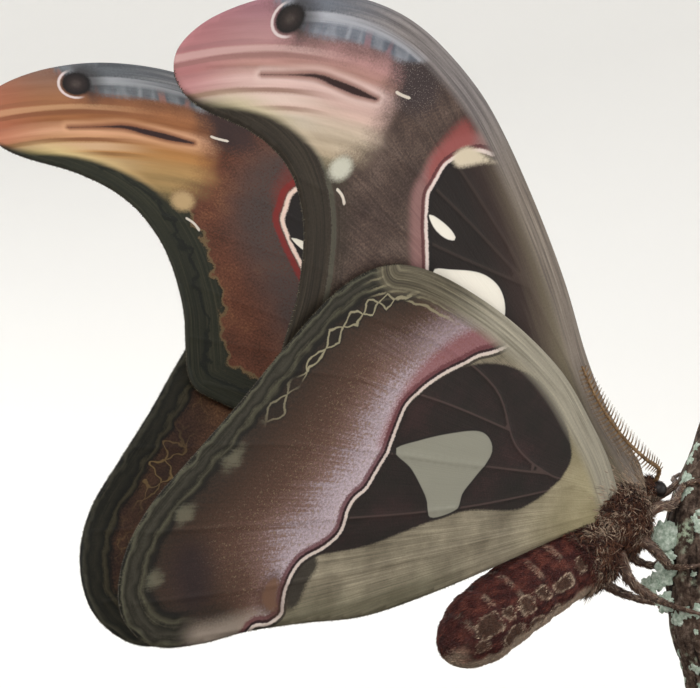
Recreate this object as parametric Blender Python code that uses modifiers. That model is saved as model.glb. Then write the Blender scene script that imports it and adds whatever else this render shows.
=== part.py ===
"""Atlas moth, female, life size, wings raised in a narrow V, gripping a short cut stem on a display stand.

Metres, +Z up. The origin is the middle of the stand's underside. The moth faces +X, its right side is
towards -Y. Its body leans 3 degrees to its left. Lengths in the constants are millimetres and are
scaled by MM where they become geometry.
"""

from math import cos, pi, radians, sin

import bmesh
import bpy
import numpy as np
from mathutils import Matrix, Vector, noise
from mathutils.geometry import delaunay_2d_cdt

MM = 0.001
GAP = 0.3  # left between pieces that meet

# Stand and perch
BASE_SIZE = (150.0, 98.0, 10.0)
BASE_EDGE = 2.0
ROD_RADIUS = 2.6
ROD_SIDES = 24
PERCH_SIDES = 14
PERCH_STEP = 3.0
PERCH_KNOT = 0.55
KNOT_FREQUENCY = 0.14

# Where the wings' hinge lines meet the body's middle plane
HINGE = Vector((38.0, 0.0, 60.0))
ROLL = radians(3.0)
HINGE_PITCH = radians(20.0)

# Body, as (forward, up) from HINGE in the body's middle plane
THORAX_CENTRE = (0.4, -4.6)
THORAX_RADII = (8.2, 7.0, 8.0)
THORAX_PITCH = radians(26.0)
HEAD_CENTRE = (7.7, 0.1)
HEAD_RADII = (2.7, 3.1, 2.9)
EYE_RADIUS = 1.45
EYE_OFFSET = (0.9, 2.2, 0.3)  # forward, sideways, up from HEAD_CENTRE
ABDOMEN_FRONT = (-3.0, -9.4)
ABDOMEN_TIP = (-34.8, -26.8)
ABDOMEN_GIRTH = 7.4
ABDOMEN_RINGS = 7
ABDOMEN_STEPS_A_RING = 4
ABDOMEN_ROUND = 0.74  # from here to the tip it rounds off
ABDOMEN_ARCH = 1.4
ABDOMEN_END_RADIUS = 0.9
RING_DEPTH = 0.035

# Wings: (forward, out) from the hinge line, in the wing's own surface
WING_THICKNESS = 0.55
VEIN_WIDTH = 0.95
VEIN_HEIGHT = 0.32
OUTLINE_STEP = 3.6
VEIN_STEP = 4.5
GRID_STEP = 8.0
VEIN_ROOM = 0.8  # least distance from a vein's point to the points before it
GRID_ROOM = 3.2

FOREWING = {
    "offset": 2.4,
    "lean": radians(16.0),
    "camber": (8.5, -4.3, 0.0),
    "outline": [
        (5.0, -5.0), (5.6, 2.0), (3.8, 7.2), (-0.2, 16.7), (-2.9, 27.0), (-5.4, 41.0), (-9.2, 55.0),
        (-14.4, 70.0), (-19.6, 81.0), (-27.8, 92.4), (-36.0, 99.6), (-46.0, 104.6), (-56.2, 106.8),
        (-65.5, 106.5), (-71.2, 104.0), (-72.8, 100.4), (-71.6, 96.4), (-68.6, 92.8), (-61.7, 87.4),
        (-57.0, 82.0), (-54.4, 76.0), (-53.9, 68.0), (-56.2, 58.5), (-59.6, 51.6), (-61.8, 46.2),
        (-59.4, 41.6), (-46.0, 28.5), (-30.0, 15.5), (-14.0, 4.5), (-4.5, -3.0),
    ],
    "veins": [
        [(4.0, -1.0), (0.6, 12.0), (-4.8, 32.0), (-11.5, 54.0), (-21.5, 77.0), (-34.0, 93.5), (-50.0, 102.5)],
        [(2.5, -1.5), (-2.4, 14.0), (-9.5, 34.0), (-18.0, 56.0), (-30.0, 77.0), (-47.0, 92.0), (-67.0, 99.5)],
        [(-13.0, 43.5), (-25.0, 61.0), (-38.0, 76.5), (-52.0, 86.0), (-64.0, 91.0)],
        [(-13.0, 43.5), (-29.0, 56.0), (-43.0, 67.5), (-54.0, 77.0)],
        [(1.0, -2.0), (-7.0, 12.0), (-17.0, 27.0), (-34.0, 44.0), (-53.0, 61.5)],
        [(-11.5, 19.0), (-27.0, 32.5), (-43.0, 44.0), (-58.0, 53.0)],
        [(-1.0, -2.5), (-13.0, 8.5), (-29.0, 21.5), (-45.0, 34.0), (-60.0, 45.0)],
    ],
}
HINDWING = {
    "offset": 3.9,
    "lean": radians(16.5),
    "camber": (7.7, -4.2, 0.8),
    "outline": [
        (-1.2, -4.0), (-1.6, 3.0), (-2.5, 8.0), (-4.7, 14.9), (-9.0, 25.6), (-15.2, 35.2), (-22.4, 43.8),
        (-31.0, 52.0), (-38.0, 56.3), (-44.6, 57.3), (-52.0, 55.3), (-61.0, 50.0), (-70.4, 43.8),
        (-80.0, 38.0), (-88.0, 33.0), (-93.6, 27.0), (-96.3, 20.0), (-95.6, 14.4), (-91.6, 9.4),
        (-84.0, 6.9), (-76.0, 5.7), (-66.0, 3.0), (-55.0, -0.4), (-42.0, -1.7), (-28.0, -2.2),
        (-15.0, -2.4), (-8.0, -3.2), (-5.0, -6.0),
    ],
    "veins": [
        [(-3.0, -1.0), (-6.0, 14.0), (-12.5, 27.0), (-24.0, 42.0), (-38.0, 54.5)],
        [(-3.6, -1.5), (-9.6, 5.6), (-15.2, 9.8), (-20.9, 17.5), (-23.5, 29.2), (-34.0, 41.5), (-50.0, 53.0)],
        [(-21.6, 20.5), (-36.0, 32.0), (-52.0, 42.0), (-63.0, 47.0)],
        [(-15.2, 9.8), (-34.0, 19.5), (-56.0, 31.0), (-76.0, 39.0)],
        [(-9.6, 5.6), (-34.0, 11.0), (-62.0, 20.0), (-90.0, 29.0)],
        [(-4.5, -2.0), (-28.0, 3.0), (-60.0, 9.0), (-94.0, 18.0)],
        [(-5.0, -2.6), (-30.0, -0.4), (-60.0, 3.2), (-89.0, 9.4)],
    ],
}

# Antennae: two points as (forward, sideways, up) from HINGE, then points along the forewing's front edge
# as (forward, out, lift off the wing), for the right side. The rays lean towards the tip by RAY_LEAN of
# their length, and those near either end are shorter.
ANTENNA_ROOT = [(8.2, 1.4, 1.4), (7.4, 4.2, 3.8)]
ANTENNA_LIE = [
    (4.6, 5.4, 3.0), (1.6, 9.6, 2.6), (-0.9, 14.0, 2.4), (-2.9, 18.4, 2.3), (-4.4, 22.6, 2.2), (-5.6, 26.6, 2.2),
]
ANTENNA_RADIUS = (0.42, 0.26)
ANTENNA_STEP = 1.6
RAY_COUNT = 15
RAY_FIRST = 3.0  # steps along the shaft
RAY_LENGTH = 2.2
RAY_SHORTEST = 0.6
RAY_RADIUS = 0.27
RAY_TIP = 0.14
RAY_LEAN = 0.35

# Perch: (forward, up, radius) along its middle line, from HINGE
PERCH_LINE = [
    (23.3, -37.0, 5.9), (23.2, -33.5, 6.0), (22.2, -29.5, 6.2), (20.8, -25.0, 6.4), (20.1, -21.0, 6.6),
    (19.6, -15.0, 6.9), (19.3, -9.0, 6.7), (19.7, -4.0, 6.3), (21.2, 0.0, 6.0), (23.6, 5.0, 5.8),
    (25.4, 10.0, 5.6), (26.4, 14.0, 5.5),
]

# Legs: hip, knee and ankle as (forward, sideways, up) from HINGE, for the right side, then the feet as
# heights on the perch. Each foot wraps round the perch, at FOOT_TURNS degrees from the side that faces
# the moth.
LEGS = {
    "front": ([(4.4, 3.2, -4.2), (7.0, 4.3, -2.6), (10.4, 3.9, -2.2)], (0.8, 1.9, 2.6)),
    "mid": ([(2.6, 3.4, -7.6), (4.6, 5.0, -9.4), (8.6, 3.9, -12.4)], (-13.2, -13.0, -12.4)),
    "hind": ([(-0.6, 3.0, -10.2), (0.6, 4.2, -15.2), (5.8, 3.4, -18.2)], (-20.0, -20.8, -21.8)),
}
FOOT_TURNS = (10.0, 36.0, 62.0)
LEG_RADII = (1.25, 1.1, 0.85, 0.66, 0.52, 0.36)

COLOURS = {
    "wing": ((0.20, 0.09, 0.07, 1.0), 0.75),
    "body": ((0.16, 0.06, 0.04, 1.0), 0.9),
    "antenna": ((0.42, 0.27, 0.13, 1.0), 0.7),
    "eye": ((0.02, 0.012, 0.01, 1.0), 0.25),
    "leg": ((0.13, 0.06, 0.04, 1.0), 0.8),
    "bark": ((0.14, 0.10, 0.07, 1.0), 0.9),
    "stand_base": ((0.05, 0.045, 0.04, 1.0), 0.35),
    "stand_rod": ((0.45, 0.43, 0.40, 1.0), 0.3),
}


def clear_scene():
    for obj in list(bpy.data.objects):
        bpy.data.objects.remove(obj)


def new_collection(name, hidden=False):
    collection = bpy.data.collections.new(name)
    bpy.context.scene.collection.children.link(collection)
    collection.hide_render = hidden
    return collection


def material(name):
    colour, roughness = COLOURS[name]
    made = bpy.data.materials.get(name) or bpy.data.materials.new(name)
    made.use_nodes = True
    shader = made.node_tree.nodes["Principled BSDF"]
    shader.inputs["Base Color"].default_value = colour
    shader.inputs["Roughness"].default_value = roughness
    shader.inputs["Metallic"].default_value = 1.0 if name == "stand_rod" else 0.0
    return made


def mesh_object(name, bm, collection):
    """A bmesh in millimetres made an object in metres."""
    bmesh.ops.recalc_face_normals(bm, faces=bm.faces)
    if bm.calc_volume(signed=True) < 0:
        bmesh.ops.reverse_faces(bm, faces=bm.faces)
    bmesh.ops.scale(bm, vec=(MM, MM, MM), verts=bm.verts)
    mesh = bpy.data.meshes.new(name)
    bm.to_mesh(mesh)
    bm.free()
    obj = bpy.data.objects.new(name, mesh)
    collection.objects.link(obj)
    return obj


def finish(obj, kind):
    obj.data.materials.clear()
    obj.data.materials.append(material(kind))
    obj.data.shade_smooth()
    obj.data.set_sharp_from_angle(angle=radians(50))
    return obj


def evaluated_mesh(obj):
    bpy.context.view_layer.update()
    graph = bpy.context.evaluated_depsgraph_get()
    return bpy.data.meshes.new_from_object(obj.evaluated_get(graph))


def keep_largest(mesh):
    """Leaves only the closed surface that spans the most faces."""
    bm = bmesh.new()
    bm.from_mesh(mesh)
    left = set(bm.faces)
    groups = []
    while left:
        stack = [left.pop()]
        group = set(stack)
        while stack:
            face = stack.pop()
            for edge in face.edges:
                for other in edge.link_faces:
                    if other in left:
                        left.remove(other)
                        group.add(other)
                        stack.append(other)
        groups.append(group)
    largest = max(groups, key=len)
    drop = [face for face in bm.faces if face not in largest]
    bmesh.ops.delete(bm, geom=drop, context="FACES")
    bm.to_mesh(mesh)
    bm.free()


def apply_booleans(obj, operation, others):
    """Joins or cuts with each of the others in turn, then removes them."""
    for other in others:
        modifier = obj.modifiers.new("boolean", "BOOLEAN")
        modifier.operation = operation
        modifier.solver = "EXACT"
        modifier.object = other
        mesh = evaluated_mesh(obj)
        obj.modifiers.clear()
        obj.data = mesh
        bpy.data.objects.remove(other)
    keep_largest(obj.data)
    return obj


def union_all(obj, pieces):
    """One union over a collection of closed pieces, which are then removed."""
    group = new_collection("pieces", hidden=True)
    for piece in pieces:
        group.objects.link(piece)
    modifier = obj.modifiers.new("union", "BOOLEAN")
    modifier.operation = "UNION"
    modifier.solver = "EXACT"
    modifier.operand_type = "COLLECTION"
    modifier.collection = group
    mesh = evaluated_mesh(obj)
    obj.modifiers.clear()
    obj.data = mesh
    for piece in list(group.objects):
        bpy.data.objects.remove(piece)
    bpy.data.collections.remove(group)
    keep_largest(obj.data)
    return obj


def body_axes(side):
    """Forward, sideways and up; side is 1 on the moth's right and -1 on its left."""
    forward = Vector((1.0, 0.0, 0.0))
    right = Vector((0.0, -cos(ROLL), sin(ROLL)))
    up = Vector((0.0, sin(ROLL), cos(ROLL)))
    return forward, right * side, up


def body_point(forward, sideways, up, side=1):
    f, r, u = body_axes(side)
    return HINGE + f * forward + r * sideways + u * up


def catmull(points, per_gap, closed=False):
    """A smooth curve through the points, with per_gap steps between neighbours."""
    points = [Vector(p) for p in points]
    count = len(points)
    made = []
    for i in range(count if closed else count - 1):
        if closed:
            a, b, c, d = (points[(i + k) % count] for k in (-1, 0, 1, 2))
        else:
            a, b, c, d = (points[min(max(i + k, 0), count - 1)] for k in (-1, 0, 1, 2))
        for k in range(per_gap):
            t = k / per_gap
            made.append(
                0.5 * (2 * b + (c - a) * t + (2 * a - 5 * b + 4 * c - d) * t * t + (3 * b - a - 3 * c + d) * t ** 3)
            )
    if not closed:
        made.append(points[-1])
    return made


def resample(points, step, closed=False):
    """The same line with points about one step apart."""
    line = list(points) + ([points[0]] if closed else [])
    lengths = np.cumsum([0.0] + [(b - a).length for a, b in zip(line[:-1], line[1:])])
    count = max(2, round(lengths[-1] / step))
    wanted = np.linspace(0.0, lengths[-1], count + 1)
    coords = np.array([tuple(p) for p in line])
    made = [Vector(np.array([np.interp(w, lengths, coords[:, k]) for k in range(coords.shape[1])])) for w in wanted]
    return made[:-1] if closed else made


def tube(name, points, radii, collection, sides=8, grow=0.0):
    """A closed round bar through the points, in millimetres, made from a beveled curve."""
    curve = bpy.data.curves.new(name, "CURVE")
    curve.dimensions = "3D"
    curve.bevel_depth = MM
    curve.bevel_resolution = sides // 2 - 2
    curve.use_fill_caps = True
    spline = curve.splines.new("POLY")
    spline.points.add(len(points) - 1)
    for point, position, radius in zip(spline.points, points, radii):
        point.co = (*(position * MM), 1.0)
        point.radius = radius + grow
    guide = bpy.data.objects.new(name + "_curve", curve)
    collection.objects.link(guide)
    mesh = evaluated_mesh(guide)
    bpy.data.objects.remove(guide)
    bm = bmesh.new()
    bm.from_mesh(mesh)
    bmesh.ops.remove_doubles(bm, verts=bm.verts, dist=1e-6)
    bmesh.ops.triangulate(bm, faces=bm.faces)
    bmesh.ops.recalc_face_normals(bm, faces=bm.faces)
    bm.to_mesh(mesh)
    bm.free()
    mesh.name = name
    obj = bpy.data.objects.new(name, mesh)
    collection.objects.link(obj)
    return obj


def ellipsoid(name, centre, radii, pitch, collection, segments=24, rings=16, grow=0.0):
    """An egg-shaped body with its long axis pitched up from forward."""
    forward, right, up = body_axes(1)
    long_axis = forward * cos(pitch) + up * sin(pitch)
    high_axis = up * cos(pitch) - forward * sin(pitch)
    turn = Matrix((long_axis, -right, high_axis)).transposed()
    bm = bmesh.new()
    bmesh.ops.create_uvsphere(bm, u_segments=segments, v_segments=rings, radius=1.0)
    for vert in bm.verts:
        x, y, z = vert.co
        local = Vector((z * (radii[0] + grow), x * (radii[1] + grow), y * (radii[2] + grow)))
        vert.co = centre + turn @ local
    return mesh_object(name, bm, collection)


def wing_point(wing, side, ahead, out, lift):
    """A place on the wing's middle surface, lifted towards its underside, which faces outwards."""
    forward, sideways, up = body_axes(side)
    hinge = forward * cos(HINGE_PITCH) + up * sin(HINGE_PITCH)
    rise = up * cos(HINGE_PITCH) - forward * sin(HINGE_PITCH)
    span = rise * cos(wing["lean"]) + sideways * sin(wing["lean"])
    normal = sideways * cos(wing["lean"]) - rise * sin(wing["lean"])
    a, b = ahead / 100, out / 100
    by_out, by_ahead, by_both = wing["camber"]
    bow = by_out * b * b + by_ahead * a * a + by_both * a * b
    return HINGE + sideways * wing["offset"] + hinge * ahead + span * out + normal * (bow + lift)


def distance_to(point, line):
    best = 1e9
    for a, b in zip(line[:-1], line[1:]):
        along = b - a
        t = min(max((point - a).dot(along) / along.length_squared, 0.0), 1.0)
        best = min(best, (point - a - along * t).length)
    return best


def wing_layout(wing):
    """The triangles of one face: points of the outline, the veins with a line on either side, and a grid."""
    outline = resample(catmull(wing["outline"], 6, closed=True), OUTLINE_STEP, closed=True)
    loop = outline + [outline[0]]
    veins = [resample(catmull(vein, 6), VEIN_STEP) for vein in wing["veins"]]
    points = list(outline)
    fixed = len(points)

    def place(point, room):
        if distance_to(point, loop) > VEIN_ROOM and all((point - p).length > room for p in points):
            points.append(point)

    for vein in veins:
        for point in vein:
            place(point, VEIN_ROOM)
    for vein in veins:
        for before, point, after in zip(vein[:-1], vein, vein[1:]):
            along = (after - before).normalized()
            for turn in (1, -1):
                place(point + Vector((-along.y, along.x)) * VEIN_WIDTH * turn, VEIN_ROOM)
    low = [min(p[k] for p in outline) for k in (0, 1)]
    high = [max(p[k] for p in outline) for k in (0, 1)]
    for i in range(int((high[0] - low[0]) / GRID_STEP) + 1):
        for j in range(int((high[1] - low[1]) / GRID_STEP) + 1):
            shift = GRID_STEP / 2 if j % 2 else 0.0
            place(Vector((low[0] + i * GRID_STEP + shift, low[1] + j * GRID_STEP)), GRID_ROOM)
    made = delaunay_2d_cdt(points, [], [list(range(fixed))], 1, 1e-4)
    return made[0], made[2], veins


def wing_mesh(name, wing, side, layout, collection):
    """A thin sheet with the same triangles on both faces and the veins raised on both."""
    points, triangles, veins = layout
    bm = bmesh.new()
    faces_of = []
    for direction in (1, -1):
        row = []
        for point in points:
            near = min(distance_to(point, vein) for vein in veins)
            ridge = VEIN_HEIGHT * max(0.0, 1.0 - near / VEIN_WIDTH)
            lift = direction * (WING_THICKNESS / 2 + ridge)
            row.append(bm.verts.new(wing_point(wing, side, point[0], point[1], lift)))
        faces_of.append(row)
    upper, lower = faces_of
    edges = {}
    for triangle in triangles:
        bm.faces.new([upper[i] for i in triangle])
        bm.faces.new([lower[i] for i in reversed(triangle)])
        for i, j in zip(triangle, triangle[1:] + triangle[:1]):
            edges[(i, j)] = True
    for i, j in edges:
        if (j, i) not in edges:
            bm.faces.new([upper[j], upper[i], lower[i]])
            bm.faces.new([upper[j], lower[i], lower[j]])
    return mesh_object(name, bm, collection)


def abdomen_line():
    return body_point(ABDOMEN_FRONT[0], 0.0, ABDOMEN_FRONT[1]), body_point(ABDOMEN_TIP[0], 0.0, ABDOMEN_TIP[1])


def abdomen_radius(t):
    """Girth along the abdomen, from 0 in front to 1 at the blunt tip, with a shallow ring at each segment."""
    swell = 0.84 + 0.46 * t - 0.40 * t * t
    end = max(0.0, (t - ABDOMEN_ROUND) / (1.0 - ABDOMEN_ROUND))
    ring = 1.0 - RING_DEPTH * (1.0 - abs(sin(pi * t * ABDOMEN_RINGS))) ** 2
    return ABDOMEN_GIRTH * swell * (1.0 - end**2.2) ** 0.5 * ring


def abdomen(name, collection, grow=0.0):
    front, tip = abdomen_line()
    count = ABDOMEN_RINGS * ABDOMEN_STEPS_A_RING
    steps = [k / count for k in range(count + 1)]
    arch = body_axes(1)[2] * ABDOMEN_ARCH
    points = [front.lerp(tip, t) + arch * sin(pi * t) for t in steps]
    radii = [max(abdomen_radius(t), ABDOMEN_END_RADIUS) for t in steps]
    return tube(name, points, radii, collection, sides=20, grow=grow)


def perch(name, collection, grow=0.0):
    """A cut length of stem: bent, with knots, round in section."""
    line = resample(catmull(PERCH_LINE, 4), PERCH_STEP)
    points = [Vector((HINGE.x + p[0], 0.0, HINGE.z + p[1])) for p in line]
    radii = [p[2] + PERCH_KNOT * noise.noise(Vector((0.0, 0.0, p[1] * KNOT_FREQUENCY))) for p in line]
    return tube(name, points, radii, collection, sides=PERCH_SIDES, grow=grow)


def perch_at(height):
    """The perch's middle line and its radius at a height from HINGE."""
    heights = [p[1] for p in PERCH_LINE]
    return (float(np.interp(height, heights, [p[k] for p in PERCH_LINE])) for k in (0, 2))


def leg(name, path, side, collection):
    joints, heights = path
    points = [body_point(f, s, u, side) for f, s, u in joints]
    for height, turn, thick in zip(heights, FOOT_TURNS, LEG_RADII[-3:]):
        middle, radius = perch_at(height)
        reach = radius + GAP + thick + PERCH_KNOT / 2
        angle = radians(turn)
        points.append((HINGE.x + middle - reach * cos(angle), -side * reach * sin(angle), HINGE.z + height))
    line = catmull(points, 4)
    places = np.linspace(0.0, len(LEG_RADII) - 1, len(line))
    radii = [float(np.interp(p, range(len(LEG_RADII)), LEG_RADII)) for p in places]
    return tube(name, line, radii, collection, sides=8)


def antenna(name, side, collection):
    """A tapered shaft with a row of rays on either side."""
    path = [body_point(f, s, u, side) for f, s, u in ANTENNA_ROOT]
    path += [wing_point(FOREWING, side, ahead, out, lift) for ahead, out, lift in ANTENNA_LIE]
    line = resample(catmull(path, 6), ANTENNA_STEP)
    last = len(line) - 1
    shaft = tube(name, line, np.linspace(*ANTENNA_RADIUS, last + 1), collection, sides=6)
    out = ANTENNA_LIE[2][1]
    outward = wing_point(FOREWING, side, 0.0, out, 1.0) - wing_point(FOREWING, side, 0.0, out, 0.0)
    rays = []
    for k in range(RAY_COUNT):
        share = k / (RAY_COUNT - 1)
        place = RAY_FIRST + (last - 0.2 - RAY_FIRST) * share
        i = int(place)
        root = line[i].lerp(line[i + 1], place - i)
        along = (line[i + 1] - line[i]).normalized()
        length = RAY_LENGTH * (RAY_SHORTEST + (1.0 - RAY_SHORTEST) * sin(pi * share))
        for turn in (1, -1):
            sideways = along.cross(outward).normalized() * turn
            tip = root + (sideways + along * RAY_LEAN) * length
            thick = [RAY_RADIUS, RAY_RADIUS, RAY_TIP]
            bar = tube(f"{name}_ray", [root, root.lerp(tip, 0.5), tip], thick, collection, sides=4)
            collection.objects.unlink(bar)
            rays.append(bar)
    return union_all(shaft, rays)


def main():
    clear_scene()
    moth = new_collection("atlas_moth")
    tools = new_collection("cutters", hidden=True)

    thorax_at = body_point(THORAX_CENTRE[0], 0.0, THORAX_CENTRE[1])
    head_at = body_point(HEAD_CENTRE[0], 0.0, HEAD_CENTRE[1])

    def thorax_cutter():
        return ellipsoid("cut", thorax_at, THORAX_RADII, THORAX_PITCH, tools, grow=GAP)

    def head_cutter():
        return ellipsoid("cut", head_at, HEAD_RADII, THORAX_PITCH, tools, segments=16, rings=12, grow=GAP)

    def eye_at(side):
        forward, sideways, up = EYE_OFFSET
        return body_point(HEAD_CENTRE[0] + forward, sideways, HEAD_CENTRE[1] + up, side)

    thorax = ellipsoid("thorax", thorax_at, THORAX_RADII, THORAX_PITCH, moth)
    apply_booleans(thorax, "DIFFERENCE", [head_cutter()])
    finish(thorax, "body")

    head = ellipsoid("head", head_at, HEAD_RADII, THORAX_PITCH, moth, segments=16, rings=12)
    eyes = []
    for side, word in ((1, "right"), (-1, "left")):
        radii = (EYE_RADIUS, EYE_RADIUS, EYE_RADIUS)
        eye = ellipsoid(f"eye_{word}", eye_at(side), radii, 0.0, moth, segments=12, rings=8)
        eyes.append(finish(eye, "eye"))
        cutter = ellipsoid("cut", eye_at(side), radii, 0.0, tools, segments=12, rings=8, grow=GAP)
        apply_booleans(head, "DIFFERENCE", [cutter])
    finish(head, "body")

    body = abdomen("abdomen", moth)
    apply_booleans(body, "DIFFERENCE", [thorax_cutter()])
    finish(body, "body")

    stem = perch("perch", moth)
    finish(stem, "bark")

    for side, word in ((1, "right"), (-1, "left")):
        for place, path in LEGS.items():
            limb = leg(f"leg_{place}_{word}", path, side, moth)
            apply_booleans(limb, "DIFFERENCE", [thorax_cutter(), perch("cut", tools, grow=GAP)])
            finish(limb, "leg")
        feeler = antenna(f"antenna_{word}", side, moth)
        apply_booleans(feeler, "DIFFERENCE", [head_cutter()])
        finish(feeler, "antenna")

    for label, wing in (("forewing", FOREWING), ("hindwing", HINDWING)):
        layout = wing_layout(wing)
        for side, word in ((1, "right"), (-1, "left")):
            sheet = wing_mesh(f"{label}_{word}", wing, side, layout, moth)
            apply_booleans(sheet, "DIFFERENCE", [thorax_cutter(), abdomen("cut", tools, grow=GAP)])
            finish(sheet, "wing")

    bm = bmesh.new()
    bmesh.ops.create_cube(bm, size=1.0)
    bmesh.ops.scale(bm, vec=BASE_SIZE, verts=bm.verts)
    bmesh.ops.translate(bm, vec=(0.0, 0.0, BASE_SIZE[2] / 2), verts=bm.verts)
    base = mesh_object("stand_base", bm, moth)
    bevel = base.modifiers.new("edge", "BEVEL")
    bevel.width = BASE_EDGE * MM
    bevel.segments = 2
    finish(base, "stand_base")

    foot = PERCH_LINE[0]
    low, high = BASE_SIZE[2] + GAP, HINGE.z + foot[1] - GAP
    bm = bmesh.new()
    bmesh.ops.create_cone(
        bm, cap_ends=True, segments=ROD_SIDES, radius1=ROD_RADIUS, radius2=ROD_RADIUS, depth=high - low
    )
    bmesh.ops.translate(bm, vec=(HINGE.x + foot[0], 0.0, (low + high) / 2), verts=bm.verts)
    finish(mesh_object("stand_rod", bm, moth), "stand_rod")
    bpy.data.collections.remove(tools)


main()
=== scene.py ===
"""The looks of the atlas moth: patterned wings with clear windows, fur, feelers, eyes, bark and stand.

Lengths are millimetres until MM scales them where a mesh is made. The studio, and the noise and relief over
the place on an object, are in metres. A place on a wing is (ahead, out), along and away from its hinge line,
as in the solids. Side is 1 on the moth's right and -1 on its left.
"""

from math import cos, pi, radians, sin

import bpy
import numpy as np
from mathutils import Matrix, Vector, noise
from mathutils.geometry import delaunay_2d_cdt
from mathutils.kdtree import KDTree


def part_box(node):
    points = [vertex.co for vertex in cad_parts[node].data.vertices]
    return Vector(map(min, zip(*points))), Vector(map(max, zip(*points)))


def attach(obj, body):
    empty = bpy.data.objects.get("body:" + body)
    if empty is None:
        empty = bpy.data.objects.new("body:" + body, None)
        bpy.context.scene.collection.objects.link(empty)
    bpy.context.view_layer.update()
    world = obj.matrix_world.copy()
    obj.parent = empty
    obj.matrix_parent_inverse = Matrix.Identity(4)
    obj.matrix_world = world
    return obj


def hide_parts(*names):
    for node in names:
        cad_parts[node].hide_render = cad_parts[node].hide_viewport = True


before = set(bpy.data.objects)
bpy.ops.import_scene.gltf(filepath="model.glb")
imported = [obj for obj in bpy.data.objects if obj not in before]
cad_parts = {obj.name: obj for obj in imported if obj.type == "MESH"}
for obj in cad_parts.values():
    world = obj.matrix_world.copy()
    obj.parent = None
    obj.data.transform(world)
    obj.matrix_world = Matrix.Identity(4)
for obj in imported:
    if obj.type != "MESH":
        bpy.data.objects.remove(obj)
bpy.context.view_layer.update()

MM = 0.001
SIDES = {"right": 1, "left": -1}
PER_GAP = 6  # points of a smooth curve between two that it is drawn through
rng = np.random.default_rng(7)

# The body's own frame, as in the solids
HINGE = np.array((38.0, 0.0, 60.0))
ROLL = radians(3.0)
HINGE_PITCH = radians(20.0)
FORWARD = np.array((1.0, 0.0, 0.0))
UP = np.array((0.0, sin(ROLL), cos(ROLL)))
RIGHT = np.array((0.0, -cos(ROLL), sin(ROLL)))

# Camera: where it stands, in millimetres, and how far it is turned from looking along +Y
CAMERA_AT = (-257.4, -421.3, 85.8)
CAMERA_TURN = radians(-30.0)
CAMERA_LENS = 152.1

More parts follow.
